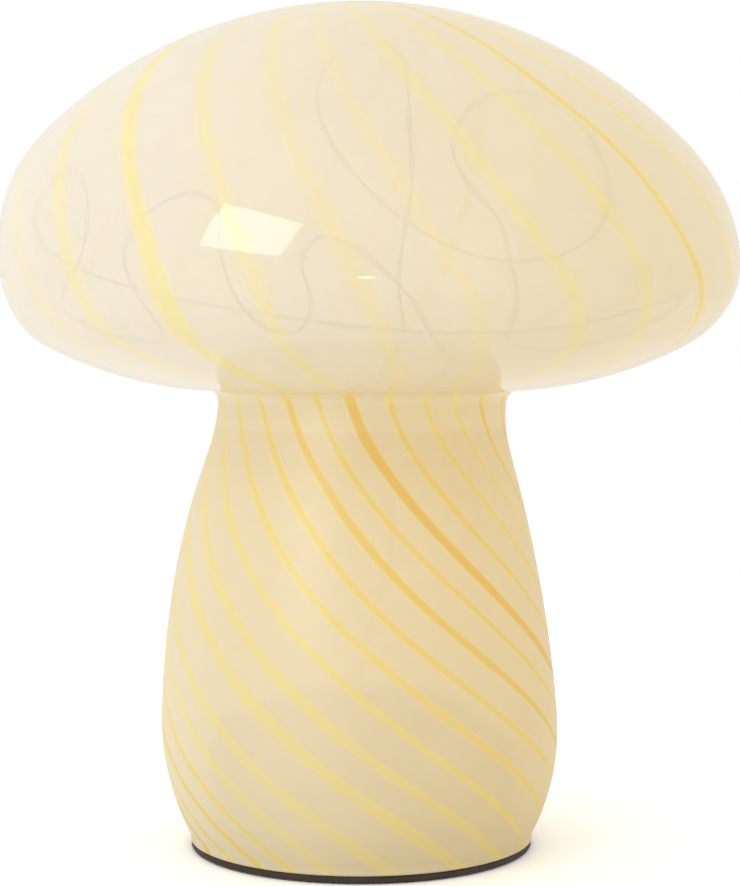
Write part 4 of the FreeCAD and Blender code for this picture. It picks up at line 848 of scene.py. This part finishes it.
def metal(name, colour, rough=0.28, brush=(1.0, 1.0, 14.0), relief=0.00001):
    """Plated or drawn metal with fine directional marks and a slight tarnish."""
    material, shader = new_material(name)
    marks = shader.cloud(260.0, 3.0, 0.6, stretch=brush)
    tarnish = shader.cloud(90.0, 4.0, 0.65)
    dull = tuple(value * 0.62 for value in colour)
    tone = shader.tint(shader.spread(tarnish, 0.4, 0.75, 0.0, 0.5), colour, dull)
    gloss = shader.spread(marks, 0.3, 0.7, rough - 0.08, rough + 0.12)
    normal = shader.bump(marks, relief)
    face = shader.add("BsdfPrincipled", Base_Color=tone, Metallic=1.0, Roughness=gloss, Normal=normal)
    shader.finish(face.outputs[0])
    return material


def copper_wire():
    return metal("lacquered_copper_wire", (0.36, 0.29, 0.21), 0.36, (1.0, 1.0, 1.0))


def clear_resin():
    """Clear resin drops with a slightly wavy skin."""
    material, shader = new_material("clear_resin_drops")
    normal = shader.bump(shader.cloud(700.0, 2.0), 0.00004)
    tone = shader.tint(shader.cloud(300.0, 2.0), (0.97, 0.96, 0.92), (1.0, 1.0, 1.0))
    skin = shader.add("BsdfPrincipled", Base_Color=tone, Roughness=0.06, IOR=1.52, Normal=normal).outputs[0]
    clear = shader.add("BsdfTransparent", Color=(0.97, 0.96, 0.93)).outputs[0]
    out = shader.add("MixShader", Fac=shader.spread(shader.cloud(500.0, 2.0), 0.3, 0.7, 0.55, 0.75))
    shader.feed(out.inputs[1], skin)
    shader.feed(out.inputs[2], clear)
    shader.finish(out.outputs[0])
    return material


def phosphor():
    """A yellow phosphor patch in a pale package."""
    material, shader = new_material("led_phosphor_die")
    speckle = shader.cloud(5200.0, 2.0)
    tone = shader.tint(shader.spread(speckle, 0.35, 0.65), (0.86, 0.74, 0.20), (0.93, 0.88, 0.62))
    face = shader.add("BsdfPrincipled", Base_Color=tone, Roughness=0.4,
                      Normal=shader.bump(speckle, 0.00001)).outputs[0]
    shader.finish(face)
    return material


def cell_jacket():
    """A plain wrapped cell: steel at both ends, a pale sleeve and one darker band."""
    material, shader = new_material("cell_sleeve")
    place = shader.add("TexCoord").outputs["Object"]
    level = shader.math("ABSOLUTE", shader.add("SeparateXYZ", Vector=place).outputs["Y"])
    end = shader.spread(level, 0.0208, 0.0210)
    band = shader.math("MULTIPLY", shader.spread(level, 0.0128, 0.0129),
                       shader.spread(level, 0.0188, 0.0189, 1.0, 0.0))
    wrap = shader.tint(shader.cloud(120.0, 3.0), (0.50, 0.53, 0.52), (0.60, 0.62, 0.60))
    dark = shader.tint(shader.cloud(120.0, 3.0), (0.03, 0.16, 0.20), (0.05, 0.22, 0.26))
    sleeve = shader.tint(band, wrap, dark)
    tone = shader.tint(end, sleeve, (0.70, 0.69, 0.67))
    gloss = shader.spread(shader.cloud(400.0, 2.0), 0.3, 0.7, 0.22, 0.36)
    face = shader.add("BsdfPrincipled", Base_Color=tone, Metallic=end, Roughness=gloss,
                      Normal=shader.bump(shader.cloud(700.0, 2.0), 0.000008)).outputs[0]
    shader.finish(face)
    return material


def circuit_board():
    """Green solder mask over fine tracks, with bare laminate at the edge."""
    material, shader = new_material("green_board")
    place = shader.add("TexCoord").outputs["Object"]
    tracks = shader.add("TexBrick", {"offset": 0.5}, Vector=place, Scale=260.0, Mortar_Size=0.03,
                        Color1=(0.020, 0.110, 0.045), Color2=(0.026, 0.125, 0.050), Mortar=(0.040, 0.190, 0.080))
    normal = shader.bump(tracks.outputs["Fac"], 0.00002)
    flat = shader.add("SeparateXYZ", Vector=shader.add("NewGeometry").outputs["Normal"]).outputs["Z"]
    top = shader.spread(shader.math("ABSOLUTE", flat), 0.4, 0.6)
    tone = shader.tint(top, (0.42, 0.40, 0.22), tracks.outputs["Color"])
    gloss = shader.spread(shader.cloud(300.0, 2.0), 0.3, 0.7, 0.26, 0.40)
    face = shader.add("BsdfPrincipled", Base_Color=tone, Roughness=gloss, Normal=normal).outputs[0]
    shader.finish(face)
    return material


def seal_silicone():
    """Cured silicone, cloudy and slightly uneven."""
    material, shader = new_material("silicone_bead")
    tone = shader.tint(shader.cloud(160.0, 3.0), (0.62, 0.60, 0.55), (0.74, 0.72, 0.67))
    normal = shader.bump(shader.cloud(240.0, 3.0), 0.0001)
    skin = shader.add("BsdfPrincipled", Base_Color=tone, Roughness=0.32, Normal=normal).outputs[0]
    through = shader.add("BsdfTranslucent", Color=tone).outputs[0]
    out = shader.add("MixShader", Fac=0.4)
    shader.feed(out.inputs[1], skin)
    shader.feed(out.inputs[2], through)
    shader.finish(out.outputs[0])
    return material


make_string()
make_lead("lead_red_cable", RED_ROUTE, plastic("red_pvc", (0.42, 0.02, 0.015), 0.34, relief=0.00001),
          "lead_red")
make_lead("lead_black_cable", BLACK_ROUTE, plastic("black_pvc", (0.016, 0.016, 0.018), 0.34, relief=0.00001),
          "lead_black")

FINISHES = {
    "base_housing": plastic("base_black", (0.040, 0.028, 0.020), 0.6, level=0.25),
    "battery_door": plastic("door_black", (0.030, 0.024, 0.020), 0.46),
    "rubber_feet": plastic("feet_rubber", (0.045, 0.043, 0.042), 0.78, grain=1600.0, relief=0.00004,
                           spread=0.3),
    "foot_seal": seal_silicone(),
    "contact_positive": metal("plated_contact", (0.74, 0.73, 0.70)),
    "timer_board": circuit_board(),
    "timer_chip": plastic("chip_black", (0.020, 0.020, 0.022), 0.5, grain=2600.0),
    "board_capacitor": metal("capacitor_can_metal", (0.55, 0.58, 0.64), 0.24),
    "board_resistors": plastic("resistor_dark", (0.030, 0.028, 0.034), 0.3, grain=3000.0),
    "board_screws": metal("screw_steel_grey", (0.56, 0.56, 0.57), 0.30),
    "switch_body": plastic("switch_dark", (0.028, 0.028, 0.030), 0.4),
    "switch_knob": plastic("knob_grey", (0.13, 0.125, 0.12), 0.42),
    "housing_cover": plastic("cover_grey", (0.36, 0.34, 0.31), 0.5),
    "wire_grommet": plastic("grommet_rubber", (0.05, 0.05, 0.05), 0.66, grain=1500.0),
}
cell_finish = cell_jacket()
for node in ("cell_left", "cell_middle", "cell_right"):
    FINISHES[node] = cell_finish
for node in ("contact_negative", "link_front", "link_rear", "contact_springs"):
    FINISHES[node] = FINISHES["contact_positive"]
FINISHES["cover_screws"] = FINISHES["board_screws"]
for node, material in FINISHES.items():
    slots = NODES[node].data.materials
    slots.clear()
    slots.append(material)
